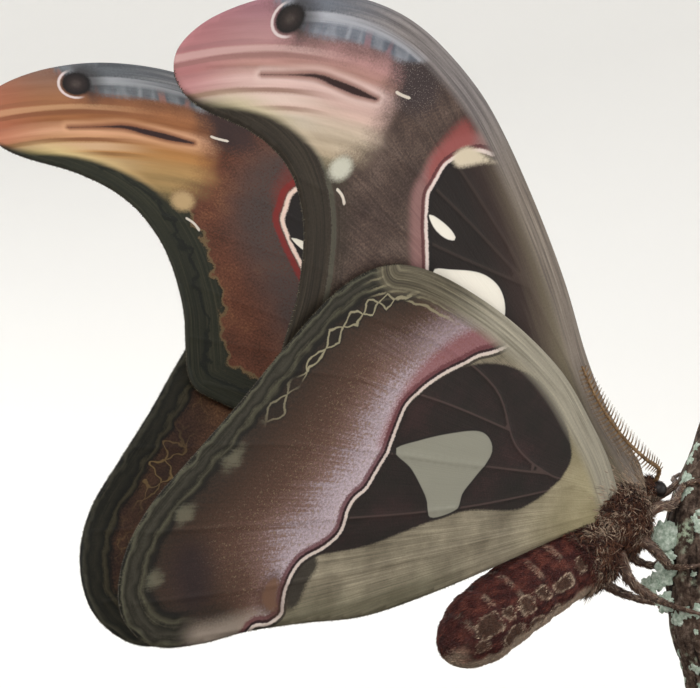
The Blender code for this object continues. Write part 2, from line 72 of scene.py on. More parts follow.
FOREWING = {
    "offset": 2.4,
    "lean": radians(16.0),
    "camber": (8.5, -4.3, 0.0),
    "outline": [
        (5.0, -5.0), (5.6, 2.0), (3.8, 7.2), (-0.2, 16.7), (-2.9, 27.0), (-5.4, 41.0), (-9.2, 55.0),
        (-14.4, 70.0), (-19.6, 81.0), (-27.8, 92.4), (-36.0, 99.6), (-46.0, 104.6), (-56.2, 106.8),
        (-65.5, 106.5), (-71.2, 104.0), (-72.8, 100.4), (-71.6, 96.4), (-68.6, 92.8), (-61.7, 87.4),
        (-57.0, 82.0), (-54.4, 76.0), (-53.9, 68.0), (-56.2, 58.5), (-59.6, 51.6), (-61.8, 46.2),
        (-59.4, 41.6), (-46.0, 28.5), (-30.0, 15.5), (-14.0, 4.5), (-4.5, -3.0),
    ],
    "front": (1, 15),
    "margin": (16, 26),
    "veins": [
        [(4.0, -1.0), (0.6, 12.0), (-4.8, 32.0), (-11.5, 54.0), (-21.5, 77.0), (-34.0, 93.5), (-50.0, 102.5)],
        [(2.5, -1.5), (-2.4, 14.0), (-9.5, 34.0), (-18.0, 56.0), (-30.0, 77.0), (-47.0, 92.0), (-67.0, 99.5)],
        [(-13.0, 43.5), (-25.0, 61.0), (-38.0, 76.5), (-52.0, 86.0), (-64.0, 91.0)],
        [(-13.0, 43.5), (-29.0, 56.0), (-43.0, 67.5), (-54.0, 77.0)],
        [(1.0, -2.0), (-7.0, 12.0), (-17.0, 27.0), (-34.0, 44.0), (-53.0, 61.5)],
        [(-11.5, 19.0), (-27.0, 32.5), (-43.0, 44.0), (-58.0, 53.0)],
        [(-1.0, -2.5), (-13.0, 8.5), (-29.0, 21.5), (-45.0, 34.0), (-60.0, 45.0)],
    ],
    "areas": {
        "inner": [
            (-14.0, 70.5), (-16.9, 68.4), (-19.9, 70.0), (-23.7, 70.6), (-26.8, 70.0), (-28.9, 68.1),
            (-30.7, 66.3), (-31.4, 63.2), (-31.8, 60.0), (-32.2, 54.3), (-33.2, 47.0), (-35.0, 38.0),
            (-37.4, 28.0), (-38.0, 18.0), (-20.0, -10.0), (12.0, -10.0), (12.0, 60.0), (-4.0, 70.0),
        ],
        "glass": [
            (-31.4, 52.9), (-27.6, 51.8), (-22.4, 49.4), (-19.3, 46.2), (-18.2, 42.6), (-18.9, 39.4),
            (-21.4, 38.2), (-25.6, 41.6), (-29.6, 47.0),
        ],
        "slit": [(-31.0, 62.8), (-29.1, 61.2), (-27.0, 58.6), (-26.3, 56.7), (-28.1, 57.5), (-30.2, 60.0)],
        "lobe": [
            (-76.0, 110.0), (-56.0, 108.0), (-52.6, 99.4), (-46.6, 96.2), (-39.6, 92.8), (-36.2, 90.4),
            (-35.9, 86.4), (-38.0, 81.4), (-41.4, 77.4), (-45.2, 77.4), (-50.0, 77.0), (-80.0, 90.0),
        ],
        "slate": [
            (-54.4, 107.6), (-51.4, 100.6), (-48.0, 98.0), (-42.0, 95.4), (-36.6, 92.2), (-33.4, 89.8),
            (-28.0, 88.6), (-24.0, 92.0), (-36.0, 104.0),
        ],
        "patch": [
            (-36.0, 91.2), (-32.0, 90.4), (-27.4, 87.6), (-26.2, 84.4), (-27.8, 80.6), (-31.0, 80.4),
            (-34.8, 82.6), (-36.2, 86.6),
        ],
        "wedge": [
            (-21.6, 71.0), (-20.6, 73.2), (-22.2, 76.0), (-26.0, 74.4), (-29.6, 71.6), (-30.4, 68.0),
            (-26.0, 70.4),
        ],
        "cream": [(-15.4, 66.6), (-17.8, 67.8), (-22.0, 71.4), (-25.2, 70.8), (-24.4, 68.8), (-19.4, 67.8)],
    },
    "eye": ((-52.6, 102.4), 2.35),
    "mouth": [(-58.4, 95.2), (-50.7, 92.7), (-48.0, 91.5), (-45.7, 89.9), (-42.4, 87.5), (-38.6, 84.9)],
    "spot": ((-46.2, 75.8), 1.8),
    "dashes": [[(-47.3, 72.6), (-46.6, 71.4), (-46.4, 69.9)], [(-34.8, 84.9), (-33.9, 84.1), (-32.4, 83.1)]],
}
HINDWING = {
    "offset": 3.9,
    "lean": radians(16.5),
    "camber": (7.7, -4.2, 0.8),
    "outline": [
        (-1.2, -4.0), (-1.6, 3.0), (-2.5, 8.0), (-4.7, 14.9), (-9.0, 25.6), (-15.2, 35.2), (-22.4, 43.8),
        (-31.0, 52.0), (-38.0, 56.3), (-44.6, 57.3), (-52.0, 55.3), (-61.0, 50.0), (-70.4, 43.8),
        (-80.0, 38.0), (-88.0, 33.0), (-93.6, 27.0), (-96.3, 20.0), (-95.6, 14.4), (-91.6, 9.4),
        (-84.0, 6.9), (-76.0, 5.7), (-66.0, 3.0), (-55.0, -0.4), (-42.0, -1.7), (-28.0, -2.2),
        (-15.0, -2.4), (-8.0, -3.2), (-5.0, -6.0),
    ],
    "front": (0, 8),
    "margin": (8, 19),
    "veins": [
        [(-3.0, -1.0), (-6.0, 14.0), (-12.5, 27.0), (-24.0, 42.0), (-38.0, 54.5)],
        [(-3.6, -1.5), (-9.6, 5.6), (-15.2, 9.8), (-20.9, 17.5), (-23.5, 29.2), (-34.0, 41.5), (-50.0, 53.0)],
        [(-21.6, 20.5), (-36.0, 32.0), (-52.0, 42.0), (-63.0, 47.0)],
        [(-15.2, 9.8), (-34.0, 19.5), (-56.0, 31.0), (-76.0, 39.0)],
        [(-9.6, 5.6), (-34.0, 11.0), (-62.0, 20.0), (-90.0, 29.0)],
        [(-4.5, -2.0), (-28.0, 3.0), (-60.0, 9.0), (-94.0, 18.0)],
        [(-5.0, -2.6), (-30.0, -0.4), (-60.0, 3.2), (-89.0, 9.4)],
    ],
    "areas": {
        "inner": [
            (-21.5, 35.1), (-25.4, 35.6), (-29.3, 35.3), (-33.3, 35.0), (-37.3, 34.1), (-40.6, 32.6),
            (-42.5, 30.2), (-44.1, 27.7), (-45.6, 25.5), (-48.3, 23.0), (-50.5, 21.1), (-52.9, 20.3),
            (-54.7, 18.6), (-56.4, 15.7), (-59.6, 14.2), (-63.4, 13.7), (-65.5, 12.7), (-67.7, 10.5),
            (-69.0, 7.9), (-69.7, 6.1), (-72.4, 5.4), (-76.0, 5.5), (-82.0, -4.0), (-60.0, -14.0),
            (14.0, -14.0), (14.0, 24.0), (-8.0, 35.0),
        ],
        "black": [
            (-29.3, 34.9), (-25.5, 34.2), (-21.7, 32.7), (-18.1, 30.3), (-14.5, 27.0), (-11.9, 23.0),
            (-10.1, 18.0), (-9.7, 13.1), (-10.1, 10.3), (-12.6, 8.0), (-15.7, 6.8), (-19.2, 6.0),
            (-23.3, 6.2), (-31.6, 9.6), (-37.4, 10.5), (-45.0, 11.0), (-52.1, 11.4), (-58.9, 12.8),
            (-63.6, 14.0), (-59.6, 14.8), (-56.2, 16.0), (-54.0, 19.0),
            (-49.4, 22.2), (-44.6, 26.6), (-41.6, 31.4), (-37.3, 33.8), (-33.3, 34.6),
        ],
        "glass": [
            (-44.1, 25.6), (-38.8, 25.4), (-33.1, 24.4), (-27.9, 22.8), (-25.8, 20.4), (-26.0, 17.6),
            (-29.8, 15.0), (-32.6, 13.2), (-34.4, 10.9), (-39.4, 11.4), (-39.6, 14.6), (-40.1, 16.9),
            (-41.6, 21.4),
        ],
        "wedge": [
            (-20.4, 35.8), (-19.4, 38.2), (-24.6, 40.6), (-31.0, 40.2), (-37.0, 38.0), (-42.0, 34.4),
            (-46.8, 27.6), (-44.0, 28.4), (-40.6, 32.6), (-33.3, 35.2), (-25.4, 35.8),
        ],
        "ochre": [
            (-69.4, 6.4), (-72.0, 6.6), (-73.6, 9.6), (-72.4, 12.6), (-69.4, 14.0), (-68.0, 11.8),
            (-69.0, 9.0),
        ],
        "corner": [
            (-62.2, 14.2), (-65.6, 13.0), (-67.4, 10.6), (-68.4, 8.2), (-68.4, 6.4), (-66.4, 6.6),
            (-64.2, 9.2), (-61.6, 11.6),
        ],
        "smudge": [
            (-86.6, 21.6), (-83.6, 24.6), (-80.6, 23.0), (-79.8, 18.4), (-81.4, 14.4), (-84.6, 13.4),
            (-86.8, 16.4),
        ],
    },
}
FOREWING["marks"] = [FOREWING["mouth"], [(-30.7, 62.2), (-28.7, 59.5), (-26.7, 57.1)]] + FOREWING["dashes"]
HINDWING["marks"] = []
WING_HALF = 0.17  # half of the membrane's thickness
GRID = 0.9  # side of the membrane's triangles
ROW = 0.866  # height of such a triangle, as a share of its side
RIDGE = 0.12  # how far a vein stands out
RIDGE_WIDTH = 0.8
RIPPLE = 0.35  # how far the membrane waves
FAN_CENTRE = (6.0, -4.0)  # where a wing's fine lines spread from
TURN_SCALE = 57.3  # makes their turn about degrees
EYESPOT_SHAPE = (0.85, 1.0)
SCALES_ROUGH = 0.66
FILM_ROUGH = 0.22
# The lobe's lines run in arcs round this place on the forewing, and the mouth's arc has this radius
LOBE_TURN = (-80.0, 24.0)
LOBE_RADIUS = 75.0


def tint(code):
    """A colour given as #rrggbb, as it looks, made linear."""
    parts = [int(code[k:k + 2], 16) / 255 for k in (1, 3, 5)]
    return tuple(c / 12.92 if c <= 0.04045 else ((c + 0.055) / 1.055) ** 2.4 for c in parts) + (1.0,)


# Shader nodes


class Value:
    """A node's output. Sums done with it add math nodes."""

    def __init__(self, pen, socket):
        self.pen, self.socket = pen, socket

    def __add__(self, other):
        return self.pen.calc("ADD", self, other)

    def __sub__(self, other):
        return self.pen.calc("SUBTRACT", self, other)

    def __rsub__(self, other):
        return self.pen.calc("SUBTRACT", other, self)

    def __mul__(self, other):
        return self.pen.calc("MULTIPLY", self, other)

    def __truediv__(self, other):
        return self.pen.calc("DIVIDE", self, other)

    def __pow__(self, other):
        return self.pen.calc("POWER", self, other)

    def __abs__(self):
        return self.pen.calc("ABSOLUTE", self)


class Pen:
    """Adds nodes to one new material. A colour is a code or a value. Textures are set on the pen by name."""

    def __init__(self, name, **fixed):
        self.material = bpy.data.materials.new(name)
        self.material.use_nodes = True
        self.tree = self.material.node_tree
        self.shader = self.tree.nodes["Principled BSDF"]
        for socket, value in fixed.items():
            self.shader.inputs[socket.replace("_", " ")].default_value = value

    def join(self, value, socket):
        """Links a value to a socket, or sets the socket to a number, a place or a colour's code."""
        if isinstance(value, Value):
            self.tree.links.new(value.socket, socket)
        else:
            socket.default_value = tint(value) if isinstance(value, str) else value

    def node(self, kind, inputs, output=0, **settings):
        """A new node's output, with its inputs given by number or name."""
        made = self.tree.nodes.new(kind)
        for key, value in settings.items():
            setattr(made, key, value)
        for key, value in inputs.items():
            self.join(value, made.inputs[key])
        return Value(self, made.outputs[output])

    def calc(self, operation, *values):
        return self.node("ShaderNodeMath", dict(enumerate(values)), operation=operation)

    def field(self, name):
        return self.node("ShaderNodeAttribute", {}, "Fac", attribute_name=name)

    def ease(self, value, low, high):
        """0 at low and 1 at high, smooth between; low may be above high."""
        inputs = {"Value": value, "From Min": low, "From Max": high}
        return self.node("ShaderNodeMapRange", inputs, interpolation_type="SMOOTHSTEP")

    def place(self, x, y):
        return self.node("ShaderNodeCombineXYZ", {0: x, 1: y})

    def far(self, x, y):
        """How far a place is from 0, 0."""
        return self.calc("SQRT", x * x + y * y)

    def noise(self, vector, scale=1.0, detail=2.0, rough=0.5):
        inputs = {"Vector": vector, "Scale": scale, "Detail": detail, "Roughness": rough}
        return self.node("ShaderNodeTexNoise", inputs, "Fac")

    def here(self, stretch=None):
        """The place on the object, in metres, stretched along its axes."""
        at = self.node("ShaderNodeTexCoord", {}, "Object")
        return at if stretch is None else self.node("ShaderNodeMapping", {"Vector": at, "Scale": stretch})

    def speckle(self, scale, detail=2.0, rough=0.5, stretch=None):
        """Noise over the place on the object."""
        return self.noise(self.here(stretch), scale, detail, rough)

    def mix(self, amount, under, over, blend="MIX"):
        inputs = {"Factor": amount, 6: under, 7: over}
        return self.node("ShaderNodeMix", inputs, 2, data_type="RGBA", blend_type=blend)

    def lay(self, under, over, amount, strength=1.0):
        """Lays a colour over another, by an amount from 0 to 1 and a strength."""
        return self.mix(amount * strength, under, over)

    def ramp(self, value, *stops):
        made = self.node("ShaderNodeValToRGB", {0: value})
        bar = made.socket.node.color_ramp
        while len(bar.elements) < len(stops):
            bar.elements.new(1.0)
        for element, (place, colour) in zip(bar.elements, stops):
            element.position = place
            element.color = tint(colour)
        return made

    def rough(self, value, **amounts):
        """The value moved either way by up to half the amount given for each texture."""
        for texture, amount in amounts.items():
            value = value + (getattr(self, texture) - 0.5) * amount
        return value

    def shade(self, colour, **greys):
        """Multiplies a colour by each texture, made a grey that runs from low to high."""
        for texture, (low, high) in greys.items():
            inputs = {"Value": getattr(self, texture), "From Min": 0.25, "From Max": 0.75}
            inputs |= {"To Min": low, "To Max": high}
            colour = self.mix(1.0, colour, self.node("ShaderNodeMapRange", inputs), "MULTIPLY")
        return colour

    def bump(self, height, distance, strength=1.0):
        inputs = {"Strength": strength, "Distance": distance, "Height": height}
        self.join(self.node("ShaderNodeBump", inputs), self.shader.inputs["Normal"])

    def colour(self, value):
        self.join(value, self.shader.inputs["Base Color"])


def speckled(name, scale, detail, rough, stops, relief=None, **fixed):
    """A material whose colour and relief follow one fine noise."""
    pen = Pen(name, **fixed)
    speck = pen.speckle(scale, detail, rough)
    pen.colour(pen.ramp(speck, *stops))
    if relief:
        pen.bump(speck, *relief)
    return pen.material


# Curves and distances on a wing, in numpy


def clamped(values):
    """Values kept from 0 to 1."""
    return np.clip(values, 0.0, 1.0)


def catmull(points, per_gap=PER_GAP, closed=False):
    """A smooth curve through the points, as an array of rows."""
    points = np.array(points, float)
    count = len(points)
    t = np.arange(per_gap)[:, None] / per_gap
    rows = []
    for i in range(count if closed else count - 1):
        if closed:
            a, b, c, d = (points[(i + k) % count] for k in (-1, 0, 1, 2))
        else:
            a, b, c, d = (points[min(max(i + k, 0), count - 1)] for k in (-1, 0, 1, 2))
        square = (2 * a - 5 * b + 4 * c - d) * t**2
        rows.append(0.5 * (2 * b + (c - a) * t + square + (3 * b - a - 3 * c + d) * t**3))
    if not closed:
        rows.append(points[-1:])
    return np.vstack(rows)


def shut(loop):
    """A loop as a line that ends where it starts."""
    return np.vstack([loop, loop[:1]])


def resample(line, step, closed=False):
    """Points about a step apart along a line or a loop."""
    if closed:
        line = shut(line)
    lengths = np.concatenate([[0.0], np.cumsum(np.linalg.norm(np.diff(line, axis=0), axis=1))])
    count = max(2, round(lengths[-1] / step))
    wanted = np.linspace(0.0, lengths[-1], count + 1)
    made = np.stack([np.interp(wanted, lengths, line[:, k]) for k in range(line.shape[1])], axis=1)
    return made[:-1] if closed else made


def to_line(places, line):
    """For each place its distance to the line, and how far along the line its nearest point is."""
    best = np.full(len(places), 1e9)
    at = np.zeros(len(places))
    done = 0.0
    for a, b in zip(line[:-1], line[1:]):
        along = b - a
        length = np.linalg.norm(along)
        t = clamped(((places - a) @ along) / length**2)
        gap = np.linalg.norm(places - a - t[:, None] * along, axis=1)
        nearer = gap < best
        best[nearer] = gap[nearer]
        at[nearer] = done + t[nearer] * length
        done += length
    return best, at


def to_lines(places, lines):
    """For each place its distance to the nearest of several curves."""
    return np.min([to_line(places, catmull(line))[0] for line in lines], axis=0)


def inside(places, loop):
    """Whether each place is within the loop."""
    found = np.zeros(len(places), bool)
    x, y = places.T
    for (ax, ay), (bx, by) in zip(loop, np.roll(loop, -1, axis=0)):
        crosses = (ay > y) != (by > y)
        level = np.where(by == ay, 1e-9, by - ay)
        found ^= crosses & (x < (bx - ax) * (y - ay) / level + ax)
    return found


def from_area(places, points):
    """Distance to an area's edge, below 0 inside it."""
    loop = catmull(points, closed=True)
    gap, _ = to_line(places, shut(loop))
    return np.where(inside(places, loop), -gap, gap)


def wing_loop(wing):
    """A wing's outline as a smooth closed curve."""
    return catmull(wing["outline"], closed=True)


def wing_axes(wing, side):
    """Directions at a wing: away from the body, along its hinge, out along it, and off its underside."""
    sideways = RIGHT * side
    hinge = FORWARD * cos(HINGE_PITCH) + UP * sin(HINGE_PITCH)
    rise = UP * cos(HINGE_PITCH) - FORWARD * sin(HINGE_PITCH)
    span = rise * cos(wing["lean"]) + sideways * sin(wing["lean"])
    normal = sideways * cos(wing["lean"]) - rise * sin(wing["lean"])
    return sideways, hinge, span, normal


def wing_points(wing, side, places, lift):
    """Points on the wing's surface, lifted towards its underside, which faces outwards."""
    sideways, hinge, span, normal = wing_axes(wing, side)
    a, b = places[:, 0] / 100, places[:, 1] / 100
    by_out, by_ahead, by_both = wing["camber"]
    bow = by_out * b * b + by_ahead * a * a + by_both * a * b + lift
    start = HINGE + sideways * wing["offset"]
    return start + places[:, :1] * hinge + places[:, 1:] * span + bow[:, None] * normal


def wing_normals(wing, side, count):
    """The wing's outward direction, repeated for each of count points."""
    return np.tile(wing_axes(wing, side)[3], (count, 1))


def wing_fields(wing, places):
    """What the wing's materials read at each point, in millimetres."""
    fields = {"ahead": places[:, 0], "out": places[:, 1]}
    loop = wing_loop(wing)
    fields["rim"], _ = to_line(places, shut(loop))
    for name in ("front", "margin"):
        first, last = wing[name]
        fields[name], fields[name + "_at"] = to_line(places, loop[first * PER_GAP:last * PER_GAP + 1])
    fields["vein"] = to_lines(places, wing["veins"])
    for name, points in wing["areas"].items():
        fields[name] = from_area(places, points)
    if "slit" in fields:
        fields["glass"] = np.minimum(fields["glass"], fields.pop("slit"))
    spread = places - np.array(FAN_CENTRE)
    fields["reach"] = np.linalg.norm(spread, axis=1)
    fields["turn"] = np.arctan2(spread[:, 1], -spread[:, 0]) * TURN_SCALE
    if "eye" in wing:
        for name in ("eye", "spot"):
            centre, radius = wing[name]
            fields[name] = np.linalg.norm((places - centre) * EYESPOT_SHAPE, axis=1) - radius
        fields["mouth"], fields["mouth_at"] = to_line(places, catmull(wing["mouth"]))
        fields["dashes"] = to_lines(places, wing["dashes"])
    return fields


def wing_layout(wing):
    """Fine triangles over the wing's outline, with points along its veins and finer marks."""
    outline = resample(wing_loop(wing), GRID, closed=True)
    low, high = outline.min(axis=0), outline.max(axis=0)
    inner = []
    for number, out in enumerate(np.arange(low[1], high[1], GRID * ROW)):
        ahead = np.arange(low[0] + (number % 2) * GRID / 2, high[0], GRID)
        inner.append(np.stack([ahead, np.full_like(ahead, out)], axis=1))
    inner = np.vstack(inner)
    drawn = np.vstack([resample(catmull(line), GRID * 0.6) for line in wing["veins"] + wing["marks"]])
    edge = shut(outline)
    drawn = drawn[(to_line(drawn, edge)[0] > GRID * 0.5) & inside(drawn, outline)]
    near_drawn = KDTree(len(drawn))
    for number, row in enumerate(drawn):
        near_drawn.insert((*row, 0.0), number)
    near_drawn.balance()
    clear = np.array([near_drawn.find((*row, 0.0))[2] > GRID * 0.45 for row in inner])
    inner = inner[clear & (to_line(inner, edge)[0] > GRID * 0.5) & inside(inner, outline)]
    places = [Vector(row) for row in np.vstack([outline, drawn, inner])]
    made = delaunay_2d_cdt(places, [], [list(range(len(outline)))], 1, 1e-4)
    return np.array([tuple(place) for place in made[0]]), made[2]


def add(name, data):
    """Puts a new object in the scene."""
    made = bpy.data.objects.new(name, data)
    bpy.context.scene.collection.objects.link(made)
    return made


def mesh_piece(name, points, faces, materials=(), slots=None):
    """A smooth mesh from points in millimetres, riding on the frame."""
    mesh = bpy.data.meshes.new(name)
    mesh.from_pydata((np.asarray(points) * MM).tolist(), [], faces)
    mesh.validate()
    mesh.shade_smooth()
    for material in materials:
        mesh.materials.append(material)
    if slots is not None:
        mesh.polygons.foreach_set("material_index", slots)
    piece = add(name, mesh)
    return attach(piece, "root")


def add_fields(piece, fields):
    """Stores values on a piece's points, for its material to read."""
    for name, values in fields.items():
        made = piece.data.attributes.new(name, "FLOAT", "POINT")
        made.data.foreach_set("value", np.asarray(values, np.float32))


def wing_piece(label, word, wing, layout, fields, materials):
    """A thin sheet: the outer face is the underside, the inner one the upperside."""
    side = SIDES[word]
    places, triangles = layout
    count = len(places)
    ridge = RIDGE * clamped(1.0 - fields["vein"] / RIDGE_WIDTH)
    ripple = np.array([noise.noise(Vector((a * 0.07, o * 0.07, 3.0 + side))) for a, o in places]) * RIPPLE
    ripple *= clamped(fields["rim"] / 6.0) * clamped((fields["reach"] - 14.0) / 14.0)
    outer = wing_points(wing, side, places, ripple + WING_HALF + ridge)
    inner = wing_points(wing, side, places, ripple - WING_HALF - ridge)
    faces = [list(triangle)[::side] for triangle in triangles]
    edges = set()
    for corners in faces:
        edges.update(zip(corners, corners[1:] + corners[:1]))
    slots = [0] * len(faces) + [1] * len(faces)
    faces += [[i + count for i in reversed(face)] for face in faces]
    rim = [[j, i, i + count, j + count] for i, j in edges if (j, i) not in edges]
    faces += rim
    slots += [0] * len(rim)
    piece = mesh_piece(f"{label}_scales_{word}", np.vstack([outer, inner]), faces, materials, slots)
    add_fields(piece, {name: np.tile(values, 2) for name, values in fields.items()})
    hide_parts(f"{label}_{word}")


# Wing patterns


class WingPen(Pen):
    """A wing face's material, with the fields and textures that all four faces share."""

    def __init__(self, name):
        super().__init__(
            name, Roughness=SCALES_ROUGH, Specular_IOR_Level=0.22, Sheen_Weight=0.03, Sheen_Roughness=0.5
        )
        self.at = self.place(self.field("ahead"), self.field("out"))
        for field in ("margin", "margin_at", "front", "front_at", "inner", "rim", "reach", "vein"):
            setattr(self, field, self.field(field))
        self.grain = self.noise(self.at, 2.6, 2.0, 0.7)
        self.drift = self.noise(self.at, 0.11, 3.0, 0.6)
        self.wave = self.noise(self.at, 0.32, 1.0)
        # fine lines: fanned out from the root, round the margin and along the front edge
        self.fan = self.lines(self.field("turn"), 2.6, self.reach, 0.05)
        self.rings = self.lines(self.margin, 2.1, self.margin_at, 0.03)
        self.streaks = self.lines(self.front, 1.5, self.front_at, 0.03)

    def lines(self, across, fine, along, coarse):
        """Noise drawn out along one field and fine across the other."""
        return self.noise(self.place(across * fine, along * coarse), 1.0, 3.0, 0.7)

    def area(self, under, over, name, soft=0.3, grain=0.8, strength=1.0):
        """Lays a colour over an area with a soft, grainy edge."""
        within = self.ease(self.rough(self.field(name), grain=grain), soft, -soft)
        return self.lay(under, over, within, strength)

    def line(self, under, over, value, at, half, grain=0.3, strength=1.0):
        """Draws a line where the value is within half of at."""
        gap = abs(self.rough(value, grain=grain) - at)
        return self.lay(under, over, self.ease(gap, half * 1.4, half * 0.5), strength)

    def front_edge(self, colour, edge, soft, hard, strength=1.0):
        """Lays a colour along the front edge: in full up to hard, in mm behind it, and gone at soft."""
        return self.lay(colour, edge, self.ease(self.rough(self.front, streaks=1.8), soft, hard), strength)

    def finish(self, colour, film, cover):
        """Windows of thin film with a dark rim, low veins and the grain of the scales."""
        glass = self.field("glass")
        colour = self.line(colour, "#1c1614", glass, 0.22, 0.26, 0.0, 0.8)
        clear = self.ease(glass, 0.12, -0.12)
        self.colour(self.mix(clear, colour, film))
        self.join(1.0 - clear * (1.0 - cover), self.shader.inputs["Alpha"])
        self.join(SCALES_ROUGH - clear * (SCALES_ROUGH - FILM_ROUGH), self.shader.inputs["Roughness"])
        self.bump(self.ease(self.vein, 0.7, 0.0) * 0.45 + self.grain * 0.2 + self.fan * 0.3, 0.00022, 0.7)
        return self.material


def chain(pen, colour, centre, period, height, wander, ink, dark, presence):
    """Loops linked along the inside of the margin, each of its own size.

    presence is a ramp over margin_at / 100.
    """
    cells = pen.rough(pen.margin_at, drift=2.0) / period
    own = pen.node("ShaderNodeTexWhiteNoise", {"W": pen.calc("FLOOR", cells)}, "Value", noise_dimensions="1D")
    peak = (1.0 - abs(pen.calc("FRACT", cells) * 2.0 - 1.0)) ** 0.8
    reach = peak * (own * 0.45 + 0.75) * height - 0.12
    gap = abs(pen.rough(pen.margin, grain=0.3, wave=wander) - centre) - reach
    shown = pen.ramp(pen.margin_at * 0.01, *presence)
    colour = pen.lay(colour, dark, pen.ease(gap, 0.9, 0.3) * shown, 0.85)
    return pen.lay(colour, ink, pen.ease(abs(gap), 0.32, 0.1) * shown, 0.85)


def margin_band(pen, colour, width, stops):
    """Fine concentric lines inside the outer edge; width grows from its first to its second value in mm."""
    wide = pen.margin_at * ((width[1] - width[0]) / 90.0) + width[0]
    share = pen.rough(pen.margin, grain=0.6, rings=1.5, wave=2.2) / wide
    lined = pen.shade(pen.ramp(share, *stops), grain=(0.78, 1.18), rings=(0.66, 1.28))
    return pen.lay(colour, lined, pen.ease(share, 1.12, 0.88) * pen.ease(pen.margin_at, 92.6, 87.0))


def hindwing_under():
    """Brown band dusted with lilac, beige base with the black field, and dark lined margin."""
    pen = WingPen("hindwing_underside")
    pen.dapple = pen.noise(pen.at, 1.8, 2.0, 0.8)
    beyond = pen.calc("MAXIMUM", pen.margin - 5.4, 0.3)
    share = pen.rough(pen.inner / (pen.inner + beyond), dapple=0.56, fan=0.5)
    band = pen.ramp(
        share, (0.0, "#b3a2a8"), (0.18, "#9f9096"), (0.36, "#6f564f"), (0.52, "#50382d"), (0.8, "#3a281d"),
        (1.0, "#2a2018"),
    )
    band = pen.lay(band, "#93838a", pen.ease(pen.front, 17.0, 8.0) * pen.ease(share, 0.75, 0.3), 0.7)
    band = pen.shade(band, grain=(0.68, 1.3), fan=(0.78, 1.16))
    band = pen.lay(band, "#94816a", pen.ease(pen.dapple, 0.56, 0.68) * pen.ease(share, 1.0, 0.5), 0.55)
    colour = pen.area(band, "#732f2d", "wedge", 1.2, 2.2, 0.7)
    colour = pen.area(colour, "#1d1518", "smudge", 3.0, 3.0, 0.78)
    low = pen.ease(pen.rough(pen.rim, grain=2.0), 5.0, 1.5) * pen.ease(pen.margin_at, 84.0, 92.0)
    colour = pen.lay(colour, "#8d8074", low, 0.8)
    colour = margin_band(pen, colour, (4.3, 6.0), [
        (0.0, "#1a1812"), (0.08, "#4f4d3e"), (0.2, "#211e16"), (0.4, "#37342a"), (0.55, "#1a1710"),
        (0.7, "#474435"), (0.82, "#1e1b13"), (0.93, "#0f0d09"),
    ])
    apex = pen.ease(pen.front_at, 56.0, 62.0) * pen.ease(pen.margin_at, 9.0, 3.0)
    for at in (1.7, 3.1, 4.4, 5.6):
        colour = pen.line(colour, "#8f876c", pen.rough(pen.rim, wave=1.2), at, 0.2, 0.3, apex * 0.7)
    colour = chain(pen, colour, 5.9, 5.0, 1.45, 2.6, "#938b71", "#19140f", [
        (0.0, "#ffffff"), (0.25, "#ffffff"), (0.27, "#000000"), (0.3, "#dddddd"), (0.34, "#bbbbbb"),
        (0.36, "#000000"),
    ])
    for at in (42.5, 54.4, 70.0):
        gap = pen.far((pen.margin_at - at) * 0.6, pen.rough(pen.margin, wave=3.0) - 6.0)
        colour = pen.lay(colour, "#75725f", pen.ease(pen.rough(gap, grain=1.6, fan=2.4), 2.1, 0.3), 0.5)
    # inside the white line: beige with the black field
    beige = pen.ramp(pen.rough(pen.drift, fan=0.4), (0.3, "#5f5747"), (0.5, "#7b7260"), (0.7, "#948b76"))
    beige = pen.shade(beige, fan=(0.7, 1.2), grain=(0.86, 1.1))
    beige = pen.lay(beige, "#a39768", pen.ease(pen.reach, 34.0, 14.0), 0.35)
    low = pen.ease(pen.rough(pen.rim, fan=3.0), 6.5, 1.5) * pen.ease(pen.reach, 36.0, 52.0)
    beige = pen.lay(beige, "#524f3c", low, 0.6)
    colour = pen.lay(colour, beige, pen.ease(pen.inner, 0.05, -0.15))
    black = pen.ramp(pen.rough(pen.drift, grain=0.4), (0.3, "#17130e"), (0.55, "#211714"), (0.75, "#301d1b"))
    black = pen.line(pen.shade(black, fan=(0.8, 1.2)), "#57453f", pen.vein, 0.0, 0.17, 0.15, 0.42)
    colour = pen.area(colour, black, "black", 0.3, 0.5)
    colour = pen.area(colour, "#1e1814", "corner", 0.6, 1.0, 0.9)
    # the line round it: cream, maroon outside, a dark hair's breadth inside
    colour = pen.line(colour, "#1b1412", pen.inner, -0.5, 0.26, 0.3, 0.8)
    colour = pen.line(colour, "#57292d", pen.inner, 1.05, 0.6, 0.8, 0.85)
    colour = pen.line(colour, "#261114", pen.inner, 0.6, 0.28, 0.4)
    colour = pen.line(colour, "#c6b7ae", pen.inner, 0.06, 0.29, 0.45)
    colour = pen.area(colour, "#43291f", "ochre", 1.3, 1.4, 0.7)
    colour = pen.lay(colour, "#664a3a", pen.ease(pen.rough(pen.field("ochre"), grain=1.2), -0.6, -1.5))
    # pale front edge, fading to the margin's olive lines at the wing's tip
    edge = pen.ramp(pen.streaks, (0.3, "#6d6758"), (0.5, "#8d8778"), (0.72, "#a59e8c"))
    olive = pen.ramp(pen.streaks, (0.34, "#302b21"), (0.5, "#564f40"), (0.66, "#7b745f"))
    edge, olive = pen.shade(edge, grain=(0.9, 1.08)), pen.shade(olive, grain=(0.85, 1.1))
    edge = pen.lay(edge, olive, pen.ease(pen.front_at, 48.0, 64.0))
    return pen.finish(pen.front_edge(colour, edge, 5.8, 3.2), "#8f8d7f", 0.8)


